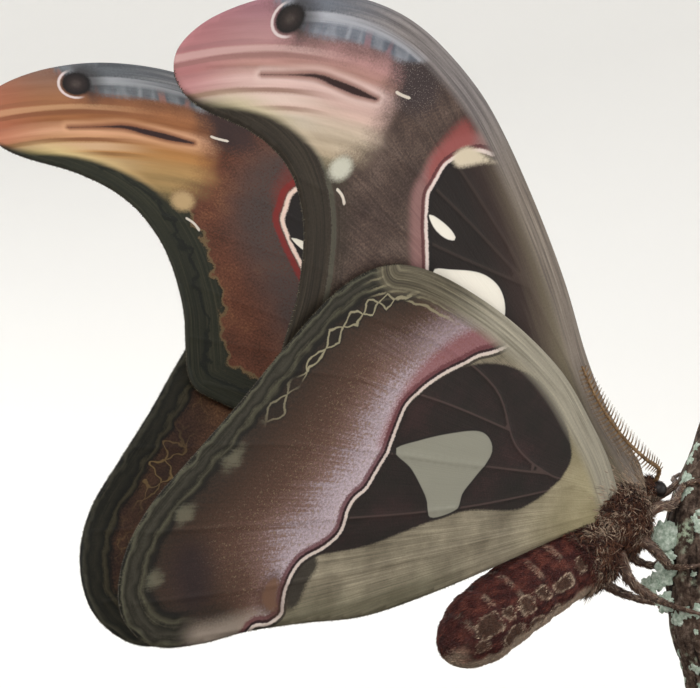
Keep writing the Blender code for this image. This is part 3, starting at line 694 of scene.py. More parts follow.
def hindwing_upper():
    """Rust-brown ground and base, broken loops, and a dark lined margin."""
    pen = WingPen("hindwing_upperside")
    ground = pen.ramp(pen.rough(pen.drift, grain=0.5), (0.3, "#33211a"), (0.55, "#4a3223"), (0.75, "#60432c"))
    ground = pen.shade(ground, grain=(0.64, 1.34), fan=(0.82, 1.12))
    colour = pen.lay(ground, "#4f3f42", pen.ease(pen.rough(pen.inner, grain=2.0), 9.0, 1.5), 0.6)
    by_margin = pen.ease(pen.rough(pen.margin, grain=1.4), 10.0, 7.6)
    colour = pen.lay(colour, pen.shade(ground, rings=(0.5, 0.9)), by_margin)
    colour = margin_band(pen, colour, (4.4, 5.6), [
        (0.0, "#11100a"), (0.1, "#343226"), (0.24, "#16150f"), (0.45, "#252319"), (0.62, "#12110c"),
        (0.76, "#393424"), (0.9, "#0e0c08"),
    ])
    colour = chain(pen, colour, 6.8, 4.2, 1.5, 6.5, "#8d7448", "#1d1410", [
        (0.0, "#777777"), (0.1, "#555555"), (0.14, "#000000"), (0.24, "#888888"), (0.3, "#666666"),
        (0.34, "#000000"), (0.44, "#cccccc"), (0.5, "#888888"), (0.54, "#000000"), (0.62, "#777777"),
        (0.68, "#111111"), (0.76, "#444444"), (0.85, "#000000"),
    ])
    colour = pen.line(colour, "#76301f", pen.field("wedge"), -2.0, 1.5, 1.2, 0.65)
    base = pen.ramp(pen.drift, (0.3, "#54301f"), (0.7, "#6f4630"))
    base = pen.shade(base, fan=(0.7, 1.22), grain=(0.8, 1.15))
    colour = pen.lay(colour, base, pen.ease(pen.inner, 0.05, -0.15))
    black = pen.shade(pen.ramp(pen.drift, (0.3, "#2a1812"), (0.7, "#42281d")), grain=(0.8, 1.25))
    colour = pen.area(colour, black, "black", 0.3, 0.5)
    colour = pen.line(colour, "#250f0e", pen.inner, 1.1, 0.5, 0.5)
    colour = pen.line(colour, "#cfc0b4", pen.inner, 0.06, 0.45, 0.35)
    edge = pen.ramp(pen.streaks, (0.3, "#5f4c38"), (0.55, "#7c664e"), (0.75, "#94805f"))
    colour = pen.front_edge(colour, pen.shade(edge, grain=(0.88, 1.1)), 4.4, 2.4)
    return pen.finish(colour, "#8f8d7c", 0.72)


def lobe_parts(pen, colour, tones):
    """The snake's-head lobe at the forewing's tip: creased snout and jaw, mouth, eyespot and slate band."""
    ahead, out = pen.field("ahead"), pen.field("out")
    across, up = ahead - LOBE_TURN[0], out - LOBE_TURN[1]
    # how far above the mouth's arc, and how far round it: 6 mm at the blunt tip, 38 mm at the mouth's corner
    rise, run = pen.far(across, up) - LOBE_RADIUS, pen.calc("ARCTAN2", across, up) * LOBE_RADIUS
    pen.flow = pen.noise(pen.place(run * 0.05, rise * 0.5))
    pen.hair = pen.noise(pen.place(run * 0.14, rise * 2.8), rough=0.6)
    skin = pen.ramp((pen.rough(rise, flow=3.4) + 14.0) * (1 / 24), *tones["lobe"])
    skin = pen.lay(skin, tones["tip"], pen.ease(pen.rough(run, flow=6.0), 21.0, 8.0), 0.75)
    skin = pen.shade(skin, flow=(0.8, 1.16), hair=(0.95, 1.04))
    snout = pen.ease(run, 40.0, 26.0)
    for at, half, tone, strength in tones["creases"]:
        skin = pen.line(skin, tone, pen.rough(rise, flow=1.2), at, half, 0.2, snout * strength)
    jaw = pen.ramp(pen.rough(pen.rim, flow=2.0) * 0.125, *tones["jaw"])
    low = pen.ease(rise, -1.5, -5.5) * pen.ease(pen.rough(pen.rim, flow=2.4), 6.5, 3.0)
    skin = pen.lay(skin, pen.shade(jaw, hair=(0.94, 1.05)), low)
    # the dark outer margin widens under the jaw, away from the tip
    clear_of_margin = pen.ease(pen.rough(pen.margin, flow=0.9) - pen.margin_at * 0.2, -0.6, 0.9)
    edge = pen.rough(pen.field("lobe"), grain=5.0, wave=3.0)
    colour = pen.lay(colour, skin, pen.ease(edge, 3.6, -3.2) * clear_of_margin)
    # slate band: a light line along the front, dark slate, and pale strokes along its lower side
    dark, middle, pale = tones["slate"]
    slate = pen.shade(pen.ramp(pen.flow, (0.3, dark), (0.7, middle)), grain=(0.84, 1.14))
    slate = pen.line(slate, pale, pen.rough(pen.front, streaks=1.2), 3.6, 0.8, 0.4, 0.75)
    pen.teeth = pen.noise(pen.place(pen.rough(run, grain=0.5) * 0.5, rise * 0.12), 1.0, 1.0, 0.4)
    depth = pen.field("slate")
    low = pen.ease(pen.rough(depth, teeth=3.0, grain=1.6), -3.6, -0.6)
    slate = pen.lay(slate, pale, pen.ease(pen.teeth, 0.46, 0.66) * low, 0.4)
    slate = pen.lay(slate, tones["tip"], pen.ease(pen.teeth, 0.46, 0.3) * low, 0.45)
    colour = pen.lay(colour, slate, pen.ease(pen.rough(depth, grain=1.4, flow=1.6), 0.7, -0.7))
    # mouth: a dark slit that thins towards the tip, under a pale lip
    mouth_at = pen.field("mouth_at")
    width = (pen.ease(mouth_at, 0.0, 17.0) * 0.5 + 0.06) * pen.ease(mouth_at, 25.0, 17.0)
    gap = pen.rough(pen.field("mouth"), flow=0.5) - width
    colour = pen.lay(colour, tones["lips"], pen.ease(gap, 1.9, 0.5), 0.4)
    colour = pen.lay(colour, tones["slit"], pen.ease(gap, 0.95, 0.1), 0.75)
    colour = pen.lay(colour, "#2c1918", pen.ease(pen.rough(gap, grain=0.3), 0.2, -0.2))
    # eyespot with a pale crescent on its tip side
    eye = pen.field("eye")
    behind = pen.ease(eye, 3.6, 0.0) * pen.ease(ahead, -53.0, -51.0)
    colour = pen.lay(colour, "#2b2625", behind, 0.75)
    grainy_eye = pen.rough(eye, grain=0.5)
    ball = pen.ramp(grainy_eye * 0.3 + 1.0, (0.3, "#4a413c"), (0.6, "#2a211f"), (0.9, "#14100f"))
    colour = pen.lay(colour, ball, pen.ease(grainy_eye, 0.4, -0.4))
    crescent = pen.ease(abs(eye - 0.4), 0.32, 0.08) * pen.ease(ahead, -52.2, -54.2)
    colour = pen.lay(colour, "#cfc2c0", crescent, 0.9)
    colour = pen.area(colour, tones["spot"], "spot", 0.8, 0.9)
    return pen.lay(colour, "#c9bfb2", pen.ease(pen.rough(pen.field("dashes"), grain=0.15), 0.34, 0.14))


def forewing_under():
    """Streaked brown ground with the lobe, red wedge, black field and pale front edge."""
    pen = WingPen("forewing_underside")
    ground = pen.ramp(pen.rough(pen.drift, grain=0.3), (0.3, "#382b26"), (0.52, "#4b3c35"), (0.75, "#5f4f47"))
    ground = pen.shade(ground, grain=(0.66, 1.34), fan=(0.58, 1.34))
    pink = pen.shade("#8b6663", fan=(0.8, 1.15))
    colour = pen.lay(ground, pink, pen.ease(pen.rough(pen.inner, grain=1.6), 4.2, 2.2), 0.8)
    olive = pen.ramp(pen.rings, (0.3, "#1d1812"), (0.55, "#2f281f"), (0.8, "#463e2f"))
    by_margin = pen.ease(pen.rough(pen.margin, grain=2.5, rings=4.0), 11.5, 3.0)
    colour = pen.lay(colour, pen.shade(olive, grain=(0.8, 1.18)), by_margin)
    colour = pen.line(colour, "#57564a", pen.rough(pen.margin, rings=1.4), 5.4, 0.5, 1.2, 0.5)
    colour = pen.area(colour, "#33292a", "patch", 2.0, 3.6, 0.85)
    specks = pen.ease(pen.noise(pen.at, 4.4, 1.0), 0.6, 0.68)
    colour = pen.lay(colour, "#8f8480", specks * pen.ease(pen.field("patch"), 2.0, -1.0), 0.5)
    colour = lobe_parts(pen, colour, {
        "lobe": (
            (0.0, "#7d765c"), (0.1, "#a8977f"), (0.26, "#bbaa96"), (0.42, "#c0a197"), (0.55, "#c6a6a0"),
            (0.62, "#a47b71"), (0.8, "#a97f7f"), (1.0, "#91666e"),
        ),
        "tip": "#a3676b",
        "creases": (
            (-2.9, 0.5, "#7d5d4e", 0.75), (-4.2, 0.7, "#d6c2b6", 0.6), (-5.6, 0.4, "#86695a", 0.75),
            (-7.6, 1.2, "#c3b9aa", 0.6), (2.4, 0.4, "#84605c", 0.6), (3.4, 0.6, "#cdaea9", 0.5),
            (4.6, 0.4, "#8d6668", 0.4),
        ),
        "jaw": ((0.0, "#55523a"), (0.16, "#857e62"), (0.4, "#b4a78b"), (1.0, "#bcab96")),
        "slate": ("#51565f", "#777b85", "#aeb0b7"), "lips": "#d9c2ba", "slit": "#7d5349", "spot": "#b9b7a8",
    })
    colour = pen.area(colour, "#8a4441", "wedge", 1.3, 2.0, 0.8)
    # inside the white line: black by the line, paling to brown streaks towards the front edge and the root
    fade = pen.rough(pen.front * 0.06 + (pen.field("out") * 0.006 - 0.2), streaks=0.3)
    deep = pen.ramp(fade, (0.25, "#665d4c"), (0.42, "#4f4439"), (0.6, "#2d201c"), (0.85, "#1c1512"))
    deep = pen.shade(deep, streaks=(0.82, 1.16), grain=(0.86, 1.14))
    deep = pen.line(deep, "#4d4038", pen.vein, 0.0, 0.24, 0.15, 0.25)
    colour = pen.lay(colour, deep, pen.ease(pen.inner, 0.1, -0.2))
    colour = pen.line(colour, "#171211", pen.inner, -0.7, 0.3, 0.3, 0.9)
    colour = pen.line(colour, "#4b2426", pen.inner, 0.85, 0.3, 0.5, 0.85)
    colour = pen.line(colour, "#d2c2bb", pen.inner, 0.08, 0.33, 0.4)
    colour = pen.area(colour, "#c4b7a0", "cream", 0.6, 0.8)
    edge = pen.ramp(pen.streaks, (0.3, "#554c46"), (0.5, "#746a61"), (0.72, "#92887b"))
    far_edge = pen.ramp(pen.streaks, (0.34, "#565050"), (0.66, "#8a8381"))
    edge, far_edge = (pen.shade(some, grain=(0.88, 1.1)) for some in (edge, far_edge))
    edge = pen.lay(edge, far_edge, pen.ease(pen.front_at, 58.0, 86.0))
    colour = pen.front_edge(colour, edge, 4.8, 2.6, pen.ease(pen.front_at, 122.0, 100.0))
    return pen.finish(colour, "#efe9dc", 0.8)


def forewing_upper():
    """Rust-brown ground with the lobe, a dark wavy margin and a grey front edge."""
    pen = WingPen("forewing_upperside")
    ground = pen.ramp(pen.rough(pen.drift, grain=0.4), (0.3, "#46281a"), (0.55, "#5c3524"), (0.75, "#6d452d"))
    ground = pen.shade(ground, grain=(0.6, 1.36), fan=(0.84, 1.12))
    dust = pen.ease(pen.rough(pen.inner, grain=4.0), 14.0, 5.0) * pen.ease(pen.grain, 0.25, 0.6)
    colour = pen.lay(ground, "#3e3b3a", dust, 0.85)
    olive = pen.ramp(pen.rings, (0.3, "#161710"), (0.55, "#26271b"), (0.8, "#403d2b"))
    wavy = pen.rough(pen.margin, grain=0.8, wave=5.0)
    colour = pen.lay(colour, pen.shade(olive, grain=(0.8, 1.15)), pen.ease(wavy, 7.8, 6.6))
    colour = pen.line(colour, "#7d6a48", wavy, 7.2, 0.26, 0.5, 0.45)
    colour = pen.line(colour, "#0f100c", wavy, 3.6, 0.4, 0.6, 0.8)
    colour = pen.area(colour, "#2a2122", "patch", 2.0, 3.2, 0.8)
    colour = lobe_parts(pen, colour, {
        "lobe": (
            (0.0, "#5a5134"), (0.1, "#8a7249"), (0.26, "#a17f50"), (0.42, "#9c6c3c"), (0.55, "#bf9070"),
            (0.62, "#865431"), (0.8, "#8f6040"), (1.0, "#7b5c4e"),
        ),
        "tip": "#a4614a",
        "creases": (
            (-2.9, 0.5, "#6b4026", 0.75), (-4.2, 0.7, "#cdb08f", 0.6), (-5.6, 0.4, "#74502f", 0.75),
            (-7.6, 1.2, "#b9a27c", 0.5), (2.4, 0.4, "#70442c", 0.6), (3.4, 0.6, "#c39a74", 0.5),
            (4.6, 0.4, "#7b5138", 0.4),
        ),
        "jaw": ((0.0, "#4c4a2e"), (0.16, "#8d8052"), (0.4, "#c0a878"), (1.0, "#c09a68")),
        "slate": ("#45484c", "#666a6e", "#9b9da0"), "lips": "#cf9f78", "slit": "#6b3a24", "spot": "#ab9068",
    })
    colour = pen.area(colour, "#6e2c26", "wedge", 1.4, 1.6, 0.55)
    deep = pen.shade(pen.ramp(pen.drift, (0.3, "#402317"), (0.7, "#5b3626")), grain=(0.7, 1.25))
    deep = pen.lay(deep, "#1c1715", pen.ease(pen.rough(pen.inner, grain=2.0), -9.0, -3.0))
    colour = pen.lay(colour, pen.shade(deep, fan=(0.85, 1.15)), pen.ease(pen.inner, 0.1, -0.2))
    colour = pen.line(colour, "#75221f", pen.inner, 1.3, 0.6, 0.6, 0.85)
    colour = pen.line(colour, "#d8bfb0", pen.inner, 0.08, 0.42, 0.5)
    edge = pen.ramp(pen.streaks, (0.3, "#3c3c3e"), (0.5, "#5b5b5e"), (0.72, "#7e7c7b"))
    edge = pen.shade(edge, grain=(0.88, 1.1))
    colour = pen.front_edge(colour, edge, 5.4, 3.2, pen.ease(pen.front_at, 122.0, 100.0))
    return pen.finish(colour, "#e4ddcc", 0.8)


def wings():
    """All four wings: the two sides of the moth share a layout and materials."""
    looks = {"forewing": (forewing_under, forewing_upper), "hindwing": (hindwing_under, hindwing_upper)}
    for label, wing in (("forewing", FOREWING), ("hindwing", HINDWING)):
        materials = [make() for make in looks[label]]
        layout = wing_layout(wing)
        fields = wing_fields(wing, layout[0])
        for word in SIDES:
            wing_piece(label, word, wing, layout, fields, materials)


# Body shapes, on the same named sizes as the solids

THORAX_CENTRE = (0.4, -4.6)
THORAX_RADII = (8.2, 7.0, 8.0)
THORAX_PITCH = radians(26.0)
HEAD_CENTRE = (7.7, 0.1)
HEAD_RADII = (2.7, 3.1, 2.9)
EYE_RADIUS = 1.45
EYE_OFFSET = (0.9, 2.2, 0.3)
ABDOMEN_FRONT = (-3.0, -9.4)
ABDOMEN_TIP = (-34.8, -26.8)
ABDOMEN_GIRTH = 7.4
ABDOMEN_RINGS = 7
ABDOMEN_ROUND = 0.74
ABDOMEN_ARCH = 1.4
ABDOMEN_LENGTH = 36.3
# outlined patches: share along, degrees round from the top, half size, and how long for its height
ABDOMEN_PATCHES = [
    (0.8, 79.0, 2.3, 1.0), (0.675, 82.0, 1.1, 1.0), (0.575, 89.0, 1.55, 0.95), (0.47, 90.0, 1.35, 0.9),
    (0.35, 95.0, 1.25, 1.5), (0.215, 84.0, 1.3, 0.8), (0.69, 120.0, 2.1, 1.1), (0.545, 130.0, 1.6, 1.1),
    (0.42, 130.0, 1.2, 1.0), (0.86, 104.0, 1.3, 1.0),
]
THORAX_COAT = 1.5
HEAD_COAT = 0.45
ABDOMEN_COAT = 0.75
SKIN_VOXEL = 0.36
NECK_RADII = (3.0, 2.6, 2.6)
HEAD_START = 4.6  # how far ahead of the hinge the head's fur starts
THORAX_END = 0.17  # along the abdomen, as a share of it
ABDOMEN_START = 0.13
TIP_LIFT = 0.5  # how steep a lock is at its tip, as a share of its lift
BAKE_PATCH = 0.003  # size of a lock in the unwrap
HAIR_SPOTS = 1500
HAIR_REACH = 12.0
FRINGE_STEP = 0.11
ANTENNA_ROOT = [(8.2, 1.4, 1.4), (7.4, 4.2, 3.8)]
ANTENNA_LIE = [
    (4.6, 5.4, 3.0), (1.6, 9.6, 2.6), (-0.9, 14.0, 2.4), (-2.9, 18.4, 2.3), (-4.4, 22.6, 2.2),
    (-5.6, 26.6, 2.2),
]
ANTENNA_RADIUS = (0.4, 0.2)
RAY_PAIRS = 34
RAY_LENGTH = 2.2
RAY_POINTS = 5
LEGS = {
    "front": ([(4.4, 3.2, -4.2), (7.0, 4.3, -2.6), (10.4, 3.9, -2.2)], (0.8, 1.9, 2.6)),
    "mid": ([(2.6, 3.4, -7.6), (4.6, 5.0, -9.4), (8.6, 3.9, -12.4)], (-13.2, -13.0, -12.4)),
    "hind": ([(-0.6, 3.0, -10.2), (0.6, 4.2, -15.2), (5.8, 3.4, -18.2)], (-20.0, -20.8, -21.8)),
}
FOOT_TURNS = (10.0, 36.0, 62.0)
LEG_RADII = (1.25, 1.1, 0.85, 0.66, 0.52, 0.36)
LEG_SLIM = 0.86  # the render's leg, under its hair, against the solid's
LEG_WAISTS = (0.22, 0.47, 0.66, 0.74, 0.82, 0.9)  # between thigh, shin and the foot's joints
LEG_HAIRS = 620
PERCH_LINE = [
    (23.3, -37.0, 5.9), (23.2, -33.5, 6.0), (22.2, -29.5, 6.2), (20.8, -25.0, 6.4), (20.1, -21.0, 6.6),
    (19.6, -15.0, 6.9), (19.3, -9.0, 6.7), (19.7, -4.0, 6.3), (21.2, 0.0, 6.0), (23.6, 5.0, 5.8),
    (25.4, 10.0, 5.6), (26.4, 14.0, 5.5),
]
PERCH_KNOT = 0.55
PERCH_SIDES = 110
PERCH_STEP = 0.42

FLAKE_RINGS = 6
FLAKE_SIDES = 44
LICHEN_FLAKES = 120
# leaves of lichen beside the stem, where the moth holds on: height, distance to the left, size
LICHEN_LEAVES = [
    (-8.1, 6.6, 3.0), (-14.6, 7.2, 2.1), (-16.6, 9.6, 1.8), (-15.8, 8.2, 1.5), (-19.4, 7.2, 1.8),
    (-11.4, 6.4, 1.5),
]
ALONG_BASE = (0.07, 1.0, 1.0)  # draws the wood's grain out lengthwise
ALONG_ROD = (1.0, 1.0, 0.03)
COLLAR_SIDES = 64
COLLAR_SINK = 0.28
# a collar's section: radius and height
COLLAR_PROFILE = [
    (2.75, 0.0), (5.2, 0.0), (5.5, 0.25), (5.5, 0.9), (5.2, 1.2), (3.6, 1.3), (3.1, 1.9), (2.75, 2.0),
]

# Studio, in metres: floor, lamps with their places and powers, and sky
FLOOR_SIDES = 96
FLOOR_RADIUS = 1.2
FLOOR_BEND = 0.9
WALL_HEIGHT = 2.0
LAMPS = [("key", (-0.9, -1.0, 1.1), 13.5), ("fill", (0.9, -1.1, 0.5), 5.0), ("back", (0.3, 1.2, 1.0), 7.5)]
LAMP_SIZE = 0.9
LAMP_TARGET = (0.0, 0.0, 0.07)
SKY_COLOUR = (0.95, 0.97, 1.0, 1.0)
SKY_STRENGTH = 0.72


def body_point(forward, sideways, up, side=1):
    """A point given from the hinge, in the body's own frame."""
    return HINGE + FORWARD * forward + RIGHT * side * sideways + UP * up


def unit(vectors):
    """Vectors scaled to a length of 1."""
    return vectors / np.maximum(np.linalg.norm(vectors, axis=-1, keepdims=True), 1e-9)


def circle(count):
    """Places round a circle of radius 1."""
    return [(cos(2 * pi * k / count), sin(2 * pi * k / count)) for k in range(count)]


def ring_quads(here, there, sides):
    """Quads between two rings of points, which start at here and at there."""
    turns = [(k, (k + 1) % sides) for k in range(sides)]
    return [[here + k, here + j, there + j, there + k] for k, j in turns]


def tube_faces(rings, sides):
    """Quads between rings of points, and a face at each end."""
    faces = []
    for i in range(rings - 1):
        faces += ring_quads(i * sides, (i + 1) * sides, sides)
    faces.append(list(range(sides))[::-1])
    faces.append([(rings - 1) * sides + k for k in range(sides)])
    return faces


def disk_faces(rings, sides):
    """Faces of a disk: point 0 is its middle, and rings of points follow."""
    turns = [(k, (k + 1) % sides) for k in range(sides)]
    faces = [[0, 1 + k, 1 + j] for k, j in turns]
    for inner in range(1, 1 + (rings - 1) * sides, sides):
        outer = inner + sides
        faces += [[inner + k, outer + k, outer + j, inner + j] for k, j in turns]
    return faces


def tube(line, radii, sides):
    """Rings of points round a line, closed at both ends."""
    line = np.asarray(line, float)
    along = unit(np.gradient(line, axis=0))
    across = unit(np.cross(along[0], (0.13, 0.21, 0.97)))
    points = []
    angles = 2 * pi * np.arange(sides) / sides
    for place, direction, radius in zip(line, along, radii):
        across = unit(across - direction * (across @ direction))
        over = np.cross(direction, across)
        ring = np.cos(angles)[:, None] * across + np.sin(angles)[:, None] * over
        points.append(place + ring * np.reshape(radius, (-1, 1)))
    return np.vstack(points), tube_faces(len(line), sides)


def ellipsoid(centre, radii, pitch, sides=48, rings=32):
    """Points and faces of an egg shape with its long axis pitched up from forward."""
    long_axis = FORWARD * cos(pitch) + UP * sin(pitch)
    high_axis = UP * cos(pitch) - FORWARD * sin(pitch)
    points = []
    for t in np.linspace(0.02, pi - 0.02, rings):
        middle = centre + long_axis * radii[0] * cos(t)
        for x, y in circle(sides):
            points.append(middle + sin(t) * (RIGHT * radii[1] * x + high_axis * radii[2] * y))
    return np.array(points), tube_faces(rings, sides)


def joined(parts):
    """One list of points and faces from several."""
    points, faces, done = [], [], 0
    for some, their_faces in parts:
        points.append(some)
        faces += [[i + done for i in face] for face in their_faces]
        done += len(some)
    return np.vstack(points), faces


def abdomen_axis():
    """Where the abdomen's axis starts in front, and how it runs to the tip."""
    front = body_point(ABDOMEN_FRONT[0], 0.0, ABDOMEN_FRONT[1])
    return front, body_point(ABDOMEN_TIP[0], 0.0, ABDOMEN_TIP[1]) - front


def abdomen_frame(t):
    """Middle and radius of the abdomen at t, from 0 in front to 1 at the tip."""
    front, axis = abdomen_axis()
    middle = front + axis * t + UP * ABDOMEN_ARCH * sin(pi * t)
    swell = 0.84 + 0.46 * t - 0.40 * t * t
    end = max(0.0, (t - ABDOMEN_ROUND) / (1.0 - ABDOMEN_ROUND))
    ring = 1.0 - 0.035 * (1.0 - abs(sin(pi * t * ABDOMEN_RINGS))) ** 2
    return middle, ABDOMEN_GIRTH * swell * (1.0 - end**2.2) ** 0.5 * ring


def abdomen_places(points):
    """For points near the abdomen: t along it, and degrees round it from the top."""
    front, axis = abdomen_axis()
    t = (points - front) @ axis / (axis @ axis)
    middle = front + t[:, None] * axis + UP * (ABDOMEN_ARCH * np.sin(pi * clamped(t)))[:, None]
    out = points - middle
    high = unit(UP - unit(axis) * (UP @ unit(axis)))
    return t, np.degrees(np.arctan2(np.abs(out @ RIGHT), out @ high))


def skin():
    """One closed skin under the coat of thorax, head and abdomen."""
    thorax = body_point(THORAX_CENTRE[0], 0.0, THORAX_CENTRE[1])
    head = body_point(HEAD_CENTRE[0], 0.0, HEAD_CENTRE[1])
    neck = head * 0.6 + thorax * 0.4
    frames = [abdomen_frame(t) for t in np.linspace(0.0, 0.985, 120)]
    radii = [max(radius - ABDOMEN_COAT, 0.4) for _, radius in frames]
    points, faces = joined([
        ellipsoid(thorax, np.array(THORAX_RADII) - THORAX_COAT, THORAX_PITCH),
        ellipsoid(head, np.array(HEAD_RADII) - HEAD_COAT, THORAX_PITCH, 32, 20),
        ellipsoid(neck, NECK_RADII, THORAX_PITCH, 32, 20),
        tube([middle for middle, _ in frames], radii, 48),
    ])
    piece = mesh_piece("body_skin", points, faces)
    for kind, settings in (
        ("REMESH", {"mode": "VOXEL", "voxel_size": SKIN_VOXEL * MM}),
        ("SMOOTH", {"factor": 0.5, "iterations": 3}),
    ):
        modifier = piece.modifiers.new(kind.lower(), kind)
        for key, value in settings.items():
            setattr(modifier, key, value)
    bpy.context.view_layer.update()
    made = bpy.data.meshes.new_from_object(piece.evaluated_get(bpy.context.evaluated_depsgraph_get()))
    piece.modifiers.clear()
    piece.data = made
    made.shade_smooth()
    return piece


def mesh_arrays(piece):
    """A mesh's points in millimetres and its triangles."""
    mesh = piece.data
    points = np.zeros(len(mesh.vertices) * 3)
    mesh.vertices.foreach_get("co", points)
    mesh.calc_loop_triangles()
    triangles = np.zeros(len(mesh.loop_triangles) * 3, int)
    mesh.loop_triangles.foreach_get("vertices", triangles)
    return points.reshape(-1, 3) / MM, triangles.reshape(-1, 3)


def scatter(points, triangles, count, weight):
    """Roots spread over a surface by area times a weight, with its outward normals there."""
    a, b, c = (points[triangles[:, k]] for k in range(3))
    cross = np.cross(b - a, c - a)
    area = np.linalg.norm(cross, axis=1) * weight((a + b + c) / 3)
    chosen = rng.choice(len(triangles), count, p=area / area.sum())
    u, v = rng.random(count), rng.random(count)
    over = u + v > 1.0
    u[over], v[over] = 1.0 - u[over], 1.0 - v[over]
    at = a[chosen] + u[:, None] * (b - a)[chosen] + v[:, None] * (c - a)[chosen]
    return at, unit(cross[chosen])


def across_to(vectors, normals):
    """Vectors without their part along the normals, one unit long."""
    return unit(vectors - normals * np.sum(vectors * normals, axis=1, keepdims=True))


def tufts(name, material, roots, normals, lies, lengths, widths, lifts, fields, sink=0.25):
    """Thin tapered locks, one at each root, as one mesh with its OFBake map.

    lifts are how steeply each stands up at its root, in degrees, and sink is how deep it starts.
    """
    count = len(roots)
    lies = across_to(lies, normals)
    across = np.cross(normals, lies)
    first, second = np.radians(lifts), np.radians(lifts * TIP_LIFT)
    go = lies * np.cos(first)[:, None] + normals * np.sin(first)[:, None]
    go_on = lies * np.cos(second)[:, None] + normals * np.sin(second)[:, None]
    low = roots - normals * sink
    middle = low + go * (lengths * 0.5)[:, None]
    tip = middle + go_on * (lengths * 0.5)[:, None]
    wide, deep = across * widths[:, None], normals * (widths * 0.5)[:, None]
    corners = [low - wide, low + wide, low + deep * 2]
    corners += [middle - wide * 0.7, middle + wide * 0.7, middle + deep * 1.4, tip]
    points = np.stack(corners, axis=1).reshape(-1, 3)
    start = np.arange(count)[:, None] * len(corners)
    quads = np.concatenate([start + np.array(q) for q in ((0, 1, 4, 3), (1, 2, 5, 4), (2, 0, 3, 5))])
    caps = np.concatenate([start + np.array(q) for q in ((3, 4, 6), (4, 5, 6), (5, 3, 6))])
    piece = mesh_piece(name, points, quads.tolist() + caps.tolist(), [material])
    add_fields(piece, {key: np.repeat(values, len(corners)) for key, values in fields.items()})
    add_fields(piece, {"along": np.tile((0.0, 0.0, 0.0, 0.5, 0.5, 0.5, 1.0), count)})
    patch = np.tile(((0, 0), (1, 0), (0.5, 0), (0, 0.5), (1, 0.5), (0.5, 0.5), (0.5, 1)), (count, 1)) - 0.5
    places = np.repeat(rolled(roots), len(corners), axis=0) + patch * BAKE_PATCH
    loops = np.zeros(len(piece.data.loops), int)
    piece.data.loops.foreach_get("vertex_index", loops)
    layer = piece.data.uv_layers.new(name="OFBake")
    layer.data.foreach_set("uv", places[loops].ravel())


def rolled(points):
    """An unwrap of the body's own shape: along it, and round it."""
    along = (points[:, 0] - HINGE[0] + 38.0) / 52.0
    out = points - HINGE
    middle = -4.0 + 0.55 * np.minimum(out[:, 0] - 4.0, 0.0)
    around = np.arctan2(out @ RIGHT, out @ UP - middle) / (2 * pi) + 0.5
    return np.stack([np.clip(along, 0.02, 0.98), np.clip(around, 0.02, 0.98)], axis=1)


def clouds(points, scale, seed):
    """Noise at each point, about -1 to 1."""
    return np.array([noise.noise(Vector(p) * scale + Vector((seed, 0.0, 0.0))) for p in points])


def abdomen_marks(points):
    """How pale and how dark the coat is: outlined patches along the side, lines between segments, and a pale
    underside that is partly painted backlight.
    """
    t, around = abdomen_places(points)
    warp = clouds(points, 0.55, 2.0) * 0.9
    skew = clouds(points, 0.55, 7.0) * 0.9
    pale, centre, shadow = (np.zeros(len(points)) for _ in range(3))
    for t_at, round_at, size, squash in ABDOMEN_PATCHES:
        x = (t - t_at) * ABDOMEN_LENGTH + warp
        y = np.radians(around - round_at) * ABDOMEN_GIRTH + skew
        # between a circle and a square
        gap = (np.abs(x / squash) ** 3 + np.abs(y) ** 3) ** (1 / 3)
        pale = np.maximum(pale, clamped(1.5 - np.abs(gap - size) / 0.15))
        centre = np.maximum(centre, clamped((size - gap) / 0.3))
        shadow = np.maximum(shadow, clamped(1.4 - np.abs(gap - size - 0.6) / 0.3))
    # pale underside: partly the coat's own pale fringe, partly painted backlight that lightens the underside
    # against its own shade
    under = clamped((around + warp * 8.0 - 124.0) / 8.0) * 0.8
    end = clamped((t - 0.9) / 0.06) * clamped((around + skew * 12.0 - 66.0) / 20.0)
    pale = np.maximum(pale, np.maximum(under, end * 0.55))
    segment = np.abs(np.mod(t * ABDOMEN_RINGS + 0.5, 1.0) - 0.5)
    seam = clamped(1.0 - segment / 0.09) * clamped((78.0 - around) / 14.0)
    pale = np.maximum(pale, seam * np.clip(skew * 2.0 + 0.1, 0.0, 0.6))
    dark = clamped(1.0 - np.abs(segment - 0.2) / 0.12) * clamped((86.0 - around) / 20.0)
    return pale, centre, np.maximum(dark * 0.8, shadow * (1.0 - centre))


def coat_fields(points):
    """Attributes that skin and coat share."""
    t, _ = abdomen_places(points)
    pale, centre, dark = abdomen_marks(points)
    rear = clamped((t - 0.12) / 0.06)
    patches = clouds(points, 0.8, 5.0)
    collar = clamped(1.0 - np.abs((points - HINGE) @ FORWARD - HEAD_START) / 1.6)
    tufted = clamped((patches - 0.22) / 0.08) * 0.6
    tufted = np.maximum(tufted, collar * clamped((patches + 0.05) / 0.2) * 0.4)
    return {
        "rear": rear,
        "pale": pale * rear + tufted * (1.0 - rear),
        "centre": centre * rear,
        "band": dark * rear,
        "cloud": clouds(points, 0.9, 5.0) + 0.5,
    }


